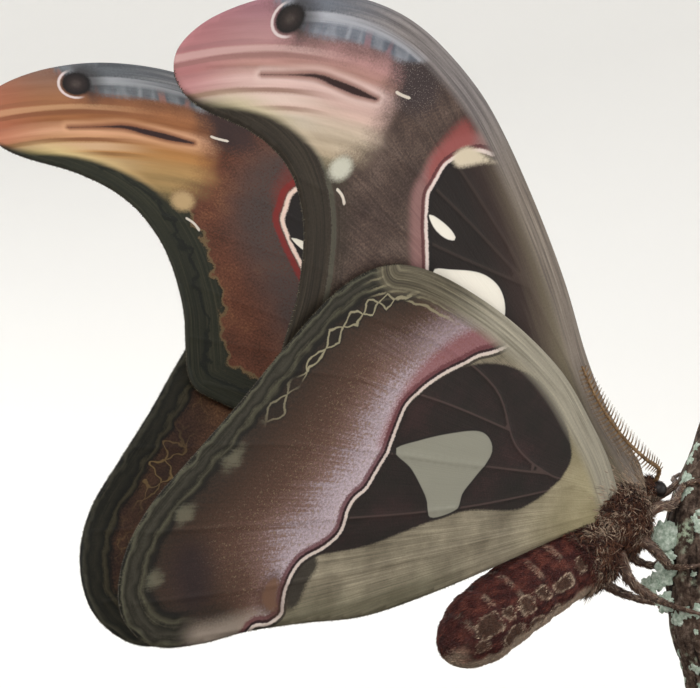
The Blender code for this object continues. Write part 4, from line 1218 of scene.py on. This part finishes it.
def coat_material(name, strands):
    """Maroon on the abdomen and brown on the thorax, with the pale marks and the pale underside, partly
    painted backlight; strands vary from tuft to tuft.
    """
    pen = Pen(name, Roughness=0.85, Sheen_Weight=0.06, Sheen_Roughness=0.5, Specular_IOR_Level=0.2)
    brown = pen.ramp(pen.field("cloud"), (0.25, "#2a1711"), (0.55, "#46291e"), (0.8, "#5f4030"))
    maroon = pen.ramp(pen.field("cloud"), (0.25, "#3d1b18"), (0.55, "#532721"), (0.8, "#64352b"))
    colour = pen.mix(pen.field("rear"), brown, maroon)
    marks = (("band", "#2f1413", 0.6), ("centre", "#4d382c", 0.85), ("pale", "#bba68f", 0.9))
    for mark, tone, strength in marks:
        colour = pen.lay(colour, tone, pen.field(mark), strength)
    if strands:
        pen.tone, pen.along = pen.field("tone"), pen.field("along")
        colour = pen.shade(colour, tone=(0.75, 1.3), along=(0.7, 1.2))
    else:
        pen.speck = pen.speckle(2600.0)
        colour = pen.shade(colour, speck=(0.45, 0.85))
        pen.bump(pen.speck, 0.0002, 0.6)
    pen.colour(colour)
    return pen.material


def eye_centre(side):
    """The middle of one eye."""
    forward, sideways, up = EYE_OFFSET
    return body_point(HEAD_CENTRE[0] + forward, sideways, HEAD_CENTRE[1] + up, side)


def of_thorax(at):
    """Whether each place is on the thorax or the head."""
    return abdomen_places(at)[0] < THORAX_END


def of_abdomen(at):
    """Whether each place is on the abdomen."""
    return abdomen_places(at)[0] >= ABDOMEN_START


def of_head(at):
    """In front of the collar and clear of both eyes."""
    clear = [np.linalg.norm(at - eye_centre(side), axis=1) > EYE_RADIUS + 0.05 for side in SIDES.values()]
    return ((at - HINGE) @ FORWARD > HEAD_START) & clear[0] & clear[1]


def coat():
    """Skin and fur of the body."""
    body = skin()
    points, triangles = mesh_arrays(body)
    body.data.materials.append(coat_material("skin", False))
    add_fields(body, coat_fields(points))
    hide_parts("thorax", "head", "abdomen")
    strands = coat_material("fur", True)
    back = -FORWARD * 0.9 - UP * 0.44
    for name, slot, count, weight, length, width, lift, tangle in (
        ("fur_thorax_a", "body", 15000, of_thorax, 2.3, 0.15, 34.0, 0.75),
        ("fur_thorax_b", "body", 9000, of_thorax, 1.4, 0.17, 24.0, 0.5),
        ("fur_abdomen_a", "abdomen", 20000, of_abdomen, 1.15, 0.10, 20.0, 0.2),
        ("fur_abdomen_b", "abdomen", 16000, of_abdomen, 0.85, 0.09, 26.0, 0.25),
        ("fur_head", "body", 8000, of_head, 1.15, 0.07, 40.0, 0.6),
    ):
        roots, normals = scatter(points, triangles, count, weight)
        face = clamped(((roots - HINGE) @ FORWARD - 5.5) / 2.0) * of_thorax(roots)
        swirl = rng.normal(size=(count, 3)) * tangle
        fields = coat_fields(roots)
        fields["tone"] = rng.random(count)
        lengths = length * (0.6 + 0.7 * rng.random(count)) * (1.0 - 0.3 * face)
        lengths *= np.where(fields["pale"] * fields["rear"] > 0.5, 0.75, 1.0)
        widths = width * (0.7 + 0.6 * rng.random(count)) * (1.0 - 0.3 * face)
        lifts = lift * (0.5 + rng.random(count))
        tufts(name, strands, roots, normals, back + swirl, lengths, widths, lifts, fields)


def wing_hair(material):
    """Long silky hair over the wings' roots and along the hindwings' inner edges."""
    places, normals, lies, lengths, pale = [], [], [], [], []
    for wing in (FOREWING, HINDWING):
        loop = wing_loop(wing)
        lowest = loop.min(axis=0)[1]
        spots = []
        while len(spots) < HAIR_SPOTS:
            spot = np.array((rng.uniform(-30.0, 6.0), rng.uniform(lowest, 16.0)))
            far = np.hypot(spot[0] - 4.0, spot[1] + 4.0)
            if far < HAIR_REACH * (0.35 + 0.65 * rng.random() ** 1.5):
                spots.append(spot)
        spots = np.array(spots)
        spots = spots[inside(spots, loop)]
        further = spots + unit(spots - (8.0, -6.0))
        for side in SIDES.values():
            for face, paleness in ((1.0, 0.75), (-1.0, 0.2)):
                lift = np.full(len(spots), WING_HALF * face)
                at = wing_points(wing, side, spots, lift)
                places.append(at)
                normals.append(wing_normals(wing, side, len(at)) * face)
                lies.append(wing_points(wing, side, further, lift) - at)
                lengths.append(rng.uniform(1.0, 2.2, len(at)))
                pale.append(np.full(len(at), paleness))
    places, normals, lies = np.vstack(places), np.vstack(normals), np.vstack(lies)
    count = len(places)
    lies = unit(lies) + rng.normal(size=(count, 3)) * 0.16
    fields = {name: np.zeros(count) for name in ("rear", "centre", "band")}
    fields["tone"] = rng.random(count)
    fields["pale"] = clamped(np.concatenate(pale) * rng.uniform(0.5, 1.2, count))
    fields["cloud"] = rng.random(count)
    tufts(
        "wing_root_hair", material, places, normals, lies, np.concatenate(lengths),
        rng.uniform(0.05, 0.09, count), rng.uniform(2.0, 9.0, count), fields, sink=0.05,
    )


def fringe():
    """A fine fringe of long scales along the outer and rear edges of all four wings."""
    pen = Pen("fringe", Roughness=0.8, Specular_IOR_Level=0.2)
    pen.colour(pen.ramp(pen.field("tone"), (0.1, "#24211a"), (0.6, "#3f3a2f"), (0.95, "#6f6755")))
    places, normals, lies = [], [], []
    for wing in (FOREWING, HINDWING):
        outline = wing_loop(wing)
        loop = resample(outline, FRINGE_STEP, closed=True)
        front_end = outline[wing["front"][1] * PER_GAP]
        start = int(np.argmin(np.linalg.norm(loop - front_end, axis=1)))
        loop = loop[start:len(loop) * 93 // 100]
        along = unit(np.gradient(loop, axis=0))
        away = np.stack([along[:, 1], -along[:, 0]], axis=1)
        if inside(loop[40:41] + away[40:41] * 0.5, outline)[0]:
            away = -away
        away = unit(away + along * rng.normal(size=(len(loop), 1)) * 0.25)
        for side in SIDES.values():
            lift = rng.uniform(-WING_HALF, WING_HALF, len(loop))
            at = wing_points(wing, side, loop - away * 0.15, lift)
            places.append(at)
            lies.append(wing_points(wing, side, loop + away, lift) - at)
            normals.append(wing_normals(wing, side, len(at)))
    places, normals, lies = np.vstack(places), np.vstack(normals), np.vstack(lies)
    count = len(places)
    tufts(
        "wing_fringe", pen.material, places, normals, lies, rng.uniform(0.28, 0.5, count),
        rng.uniform(0.05, 0.08, count), rng.uniform(-5.0, 5.0, count), {"tone": rng.random(count)}, sink=0.0,
    )


def antenna(word, material):
    """A ringed shaft with two rows of fine rays, each with a twin just beside it."""
    side = SIDES[word]
    root = body_point(HEAD_CENTRE[0] + 0.3, 1.0, HEAD_CENTRE[1] + 1.2, side)
    path = [root] + [body_point(*place, side) for place in ANTENNA_ROOT]
    lie = np.array(ANTENNA_LIE)
    path += list(wing_points(FOREWING, side, lie[:, :2], lie[:, 2]))
    line = resample(catmull(path, 12), 0.16)
    share = np.linspace(0.0, 1.0, len(line))
    radii = ANTENNA_RADIUS[0] + (ANTENNA_RADIUS[1] - ANTENNA_RADIUS[0]) * share
    radii = radii * (1.0 + 0.10 * np.sin(share * pi * 2 * RAY_PAIRS))
    parts = [tube(line, radii, 10)]
    normal = wing_axes(FOREWING, side)[3]
    along = unit(np.gradient(line, axis=0))
    steps = np.linspace(0.0, 1.0, RAY_POINTS)[:, None]
    for k in range(RAY_PAIRS):
        at = 0.12 + 0.86 * k / (RAY_PAIRS - 1)
        i = int(at * (len(line) - 1))
        size = RAY_LENGTH * (0.45 + 0.55 * sin(pi * k / (RAY_PAIRS - 1)) ** 0.7)
        for turn in (1.0, -1.0):
            across = unit(np.cross(along[i], normal)) * turn
            for apart, reach, droop in ((0.0, size, 0.12), (0.35, size * (1.0 - 0.18), 0.32)):
                ray = line[i] + along[i] * apart * 0.6 + across * reach * steps
                ray = ray + along[i] * reach * 0.42 * steps**1.6 + normal * reach * droop * (steps - steps**2)
                parts.append(tube(ray, np.linspace(0.10, 0.035, RAY_POINTS), 5))
    piece = mesh_piece(f"feeler_{word}", *joined(parts), [material])
    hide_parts(f"antenna_{word}")


def eye(word, material):
    centre = eye_centre(SIDES[word])
    piece = mesh_piece(f"eye_lens_{word}", *ellipsoid(centre, (EYE_RADIUS,) * 3, 0.0, 64, 48), [material])
    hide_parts(f"eye_{word}")


def eye_material():
    """Dark, with the fine facets of a compound eye."""
    pen = Pen("eyes", Roughness=0.4, Specular_IOR_Level=0.3)
    cells = pen.node("ShaderNodeTexVoronoi", {"Scale": 6500.0, "Vector": pen.here()}, "Distance")
    pen.colour(pen.ramp(cells, (0.0, "#22120d"), (0.5, "#110907"), (1.0, "#070403")))
    pen.bump(cells, 0.00006, 0.5)
    return pen.material


def perch_at(height):
    """How far ahead the stem's middle is at a height, and its radius there."""
    heights = [p[1] for p in PERCH_LINE]
    return (float(np.interp(height, heights, [p[k] for p in PERCH_LINE])) for k in (0, 2))


def leg(place, word, skin_material, fur_material):
    """A jointed leg with knees and a hooked foot, and its short hair."""
    side = SIDES[word]
    joints, heights = LEGS[place]
    points = [body_point(*joint, side) for joint in joints]
    for height, turn, thick in zip(heights, FOOT_TURNS, LEG_RADII[-3:]):
        middle, radius = perch_at(height)
        reach = radius + 0.3 + thick + PERCH_KNOT / 2
        angle = radians(turn)
        foot = (HINGE[0] + middle - reach * cos(angle), -side * reach * sin(angle), HINGE[2] + height)
        points.append(np.array(foot))
    line = resample(catmull(points, 10), 0.22)
    share = np.linspace(0.0, 1.0, len(line))
    radii = np.interp(share, np.linspace(0.0, 1.0, len(LEG_RADII)), LEG_RADII) * LEG_SLIM
    for waist in LEG_WAISTS:
        radii = radii * (1.0 - 0.26 * np.exp(-(((share - waist) / 0.014) ** 2)))
    parts = [tube(line, radii, 14)]
    along = unit(np.gradient(line, axis=0))
    end, direction = line[-1], along[-1]
    middle, _ = perch_at(heights[-1])
    inward = unit(np.array((HINGE[0] + middle, 0.0, end[2])) - end)
    steps = np.linspace(0.0, 1.0, 6)[:, None]
    for turn in (1.0, -1.0):
        over = unit(np.cross(direction, inward)) * turn
        claw = end + direction * 0.8 * steps + over * 0.35 * steps + inward * (0.35 * steps**2)
        parts.append(tube(claw, np.linspace(0.13, 0.03, 6), 6))
    piece = mesh_piece(f"limb_{place}_{word}", *joined(parts), [skin_material])
    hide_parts(f"leg_{place}_{word}")
    count = LEG_HAIRS
    at = (rng.random(count) ** 0.85 * 0.86 * (len(line) - 1)).astype(int)
    normals = across_to(rng.normal(size=(count, 3)), along[at])
    roots = line[at] + normals * radii[at][:, None]
    fields = coat_fields(roots)
    fields["rear"] = np.zeros(count)
    fields["pale"] = (rng.random(count) < 0.32) * rng.uniform(0.3, 0.9, count)
    fields["tone"] = rng.random(count)
    lies = along[at] + rng.normal(size=(count, 3)) * 0.3
    lengths = np.interp(share[at], (0.0, 0.4, 0.9), (1.5, 0.9, 0.5)) * rng.uniform(0.6, 1.2, count)
    tufts(
        f"fur_{place}_{word}", fur_material, roots, normals, lies, lengths,
        rng.uniform(0.05, 0.10, count), rng.uniform(6.0, 26.0, count), fields, sink=0.08,
    )


def animal():
    """Wings, body, feelers, eyes and legs."""
    wings()
    coat()
    fur = bpy.data.materials["fur"]
    wing_hair(fur)
    fringe()
    feelers = speckled(
        "feelers", 1500.0, 2.0, 0.5, ((0.3, "#4f3a26"), (0.55, "#73583a"), (0.75, "#927653")), (0.0001, 0.5),
        Roughness=0.6, Specular_IOR_Level=0.3,
    )
    eyes = eye_material()
    limbs = speckled(
        "legs", 900.0, 3.0, 0.5, ((0.3, "#33231c"), (0.55, "#5a463a"), (0.78, "#8c7866")), (0.00015, 0.6),
        Roughness=0.55, Specular_IOR_Level=0.35,
    )
    for word in SIDES:
        antenna(word, feelers)
        eye(word, eyes)
        for place in LEGS:
            leg(place, word, limbs, fur)


# Perch, lichen and stand


def bark_relief(angle, height):
    """How far the bark stands below the solid's surface: long ridges, cracks and pores."""
    around = Vector((cos(angle), sin(angle), 0.0))
    ridges = noise.fractal(around * 2.6 + Vector((0.0, 0.0, height * 0.07)), 0.8, 2.2, 4)
    knots = noise.noise(around * 1.1 + Vector((4.0, 0.0, height * 0.10)))
    crack = abs(noise.noise(around * 4.5 + Vector((9.0, 0.0, height * 0.12))))
    return 0.34 - 0.30 * ridges - 0.25 * knots + 0.30 * max(0.0, 0.10 - crack) / 0.10


def perch():
    """The cut stem. Its bark's points and its middle line carry the lichen."""
    line = resample(catmull(PERCH_LINE), PERCH_STEP)
    knots = np.array([noise.noise(Vector((0.0, 0.0, height * 0.14))) for height in line[:, 1]])
    radii = line[:, 2] + PERCH_KNOT * knots
    middle = np.stack([HINGE[0] + line[:, 0], np.zeros(len(line)), HINGE[2] + line[:, 1]], axis=1)
    turns = [2 * pi * k / PERCH_SIDES for k in range(PERCH_SIDES)]
    rings = []
    for height, radius in zip(line[:, 1], radii):
        rings.append([radius - max(0.0, bark_relief(turn, height)) for turn in turns])
    points, faces = tube(middle, rings, PERCH_SIDES)
    depth = np.array(rings).ravel() - np.repeat(radii, PERCH_SIDES)
    slots = [0] * (len(faces) - 2) + [1, 1]
    cut = speckled(
        "cut_wood", 700.0, 3.0, 0.6, ((0.3, "#8a6d4b"), (0.6, "#b3926a"), (0.8, "#c7ab84")), Roughness=0.8
    )
    piece = mesh_piece("perch_bark", points, faces, [bark_material(), cut], slots)
    add_fields(piece, {"depth": depth})
    piece.data.set_sharp_from_angle(angle=radians(60))
    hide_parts("perch")
    return points, middle


def bark_material():
    """Grey-brown, dark in the cracks, with a thin pale crust in patches."""
    pen = Pen("bark", Roughness=0.9, Specular_IOR_Level=0.2)
    pen.fine = pen.speckle(900.0, 4.0, 0.65)
    pen.broad = pen.speckle(170.0, 3.0, 0.6)
    colour = pen.ramp(pen.fine, (0.3, "#2a1f1a"), (0.5, "#4f4036"), (0.66, "#75655a"), (0.8, "#958679"))
    colour = pen.shade(colour, broad=(0.75, 1.25))
    cracks = pen.ease(pen.rough(pen.field("depth"), fine=0.3), -0.28, -0.62)
    colour = pen.mix(cracks, colour, "#1c1411")
    pen.colour(pen.mix(pen.ease(pen.broad, 0.56, 0.66) * pen.ease(pen.fine, 0.42, 0.6), colour, "#9aa790"))
    pen.bump(pen.fine, 0.0005, 0.8)
    return pen.material


def flake(centre, out, up, size, seed, wrapped_on=None):
    """A lobed leaf of lichen facing out; wrapped_on is the stem's middle where it lies on the bark."""
    across = unit(np.cross(up, out))
    points = [centre + out * 0.14 * size]
    for r in range(1, FLAKE_RINGS + 1):
        share = r / FLAKE_RINGS
        for x, y in circle(FLAKE_SIDES):
            where = Vector((x, y, seed))
            edge = size * (1.0 + 0.55 * noise.noise(where * 1.7) + 0.3 * noise.noise(where * 4.3))
            lift = size * (0.14 * (1.0 - share**2) + 0.2 * share**2 * noise.noise(where * 2.6))
            flat = centre + (across * x + up * y) * edge * share
            if wrapped_on is None:
                points.append(flat + out * lift)
            else:
                foot = wrapped_on + up * ((flat - wrapped_on) @ up)
                far = np.linalg.norm(centre - wrapped_on)
                points.append(foot + unit(flat - foot) * (far + max(lift, 0.0) - 0.08 * (r == FLAKE_RINGS)))
    return np.array(points), disk_faces(FLAKE_RINGS, FLAKE_SIDES)


def lichen(bark_points, middle):
    """Lobed flakes that sit on the bark, thickest where the moth holds on, and leaves beside the stem."""
    parts = []
    for number in range(LICHEN_FLAKES):
        i = int(rng.integers(6, len(middle) - 6))
        k = int(rng.integers(PERCH_SIDES))
        at = bark_points[i * PERCH_SIDES + k]
        near_moth = -24.0 < at[2] - HINGE[2] < 4.0
        size = rng.uniform(0.4, 1.3) * (1.3 if near_moth else 0.9)
        up = unit(middle[i + 3] - middle[i - 3])
        parts.append(flake(at, unit(at - middle[i]), up, size, number * 3.7, middle[i]))
    left = np.array((-cos(CAMERA_TURN), -sin(CAMERA_TURN), 0.0))
    facing = np.array((sin(CAMERA_TURN), -cos(CAMERA_TURN), 0.0))
    for number, (height, reach, size) in enumerate(LICHEN_LEAVES):
        axis, _ = perch_at(height)
        at = np.array((HINGE[0] + axis, 0.0, HINGE[2] + height)) + left * reach + facing * 4.2
        turn = unit(facing + left * rng.uniform(-0.2, 0.5) + UP * rng.uniform(-0.3, 0.3))
        parts.append(flake(at, turn, unit(UP - turn * (UP @ turn)), size, 200.0 + number * 5.3))
    stops = ((0.3, "#7f9080"), (0.5, "#a5b3a3"), (0.7, "#d2dacf"))
    crust = speckled(
        "lichen", 1400.0, 3.0, 0.6, stops, (0.0003, 0.8), Roughness=0.95, Specular_IOR_Level=0.15
    )
    piece = mesh_piece("lichen", *joined(parts), [crust])
    solid = piece.modifiers.new("thick", "SOLIDIFY")
    solid.thickness = 0.22 * MM
    solid.offset = -1.0


def stand():
    """Wood for the base and brushed steel for the rod, with a collar at each of its ends."""
    wood = Pen("stand_wood", Roughness=0.38, Coat_Weight=0.25, Coat_Roughness=0.25)
    grain = wood.speckle(420.0, 4.0, 0.62, ALONG_BASE)
    wood.broad = wood.speckle(60.0, 2.0, 0.5, ALONG_BASE)
    colour = wood.ramp(grain, (0.3, "#20150f"), (0.5, "#38261b"), (0.72, "#523a29"))
    wood.colour(wood.shade(colour, broad=(0.75, 1.2)))
    wood.bump(grain, 0.0002, 0.35)
    steel = Pen("stand_steel", Roughness=0.32, Metallic=1.0)
    lines = steel.speckle(5000.0, 3.0, 0.5, ALONG_ROD)
    steel.colour(steel.ramp(lines, (0.3, "#a9a7a2"), (0.7, "#cfcdc8")))
    steel.bump(lines, 0.00004, 0.3)
    for name, pen in (("stand_base", wood), ("stand_rod", steel)):
        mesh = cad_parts[name].data
        mesh.materials.clear()
        mesh.materials.append(pen.material)
    low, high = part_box("stand_rod")
    centre = np.array((low + high)[:]) / 2 / MM
    collars = {"low": (low.z / MM - COLLAR_SINK, 1), "high": (high.z / MM + COLLAR_SINK, -1)}
    for end, (z, turn) in collars.items():
        points = [
            (centre[0] + radius * x, centre[1] + radius * y, z + turn * height)
            for radius, height in COLLAR_PROFILE for x, y in circle(COLLAR_SIDES)
        ]
        faces = []
        for i in range(len(COLLAR_PROFILE)):
            n = (i + 1) % len(COLLAR_PROFILE)
            faces += [face[::turn] for face in ring_quads(i * COLLAR_SIDES, n * COLLAR_SIDES, COLLAR_SIDES)]
        piece = mesh_piece(f"stand_collar_{end}", points, faces, [steel.material])
        piece.data.set_sharp_from_angle(angle=radians(30))


# Floor, light and camera


def studio():
    """A pale floor that curves up into a round wall."""
    pen = Pen("studio_floor", Roughness=0.9)
    pen.colour("#f2f0ec")
    rings = [(0.3, 0.0), (FLOOR_RADIUS, 0.0)]
    for a in np.linspace(0.1, pi / 2, 14):
        rings.append((FLOOR_RADIUS + FLOOR_BEND * sin(a), FLOOR_BEND - FLOOR_BEND * cos(a)))
    rings.append((FLOOR_RADIUS + FLOOR_BEND, WALL_HEIGHT))
    points = [(0.0, 0.0, 0.0)]
    points += [(radius * x, radius * y, height) for radius, height in rings for x, y in circle(FLOOR_SIDES)]
    mesh = bpy.data.meshes.new("studio_floor")
    mesh.from_pydata(points, [], disk_faces(len(rings), FLOOR_SIDES))
    mesh.shade_smooth()
    mesh.materials.append(pen.material)
    floor = add("studio_floor", mesh)


def lights():
    """Three round lamps that face the model, and an even pale sky."""
    for name, at, power in LAMPS:
        light = bpy.data.lights.new(name, "AREA")
        light.shape = "DISK"
        light.size = LAMP_SIZE
        light.energy = power
        made = add(name, light)
        made.location = at
        made.rotation_euler = (Vector(LAMP_TARGET) - Vector(at)).to_track_quat("-Z", "Y").to_euler()
    world = bpy.data.worlds.new("studio")
    world.use_nodes = True
    background = world.node_tree.nodes["Background"]
    background.inputs["Color"].default_value = SKY_COLOUR
    background.inputs["Strength"].default_value = SKY_STRENGTH
    bpy.context.scene.world = world
    bpy.context.scene.view_settings.view_transform = "Standard"


def camera():
    """The camera at the photograph's angle."""
    data = bpy.data.cameras.new("camera")
    data.lens = CAMERA_LENS
    data.sensor_width = 36.0
    data.clip_start, data.clip_end = 0.01, 20.0
    made = add("camera", data)
    made.location = Vector(CAMERA_AT) * MM
    made.rotation_euler = (pi / 2, 0.0, CAMERA_TURN)
    bpy.context.scene.camera = made


animal()
lichen(*perch())
stand()
studio()
lights()
camera()
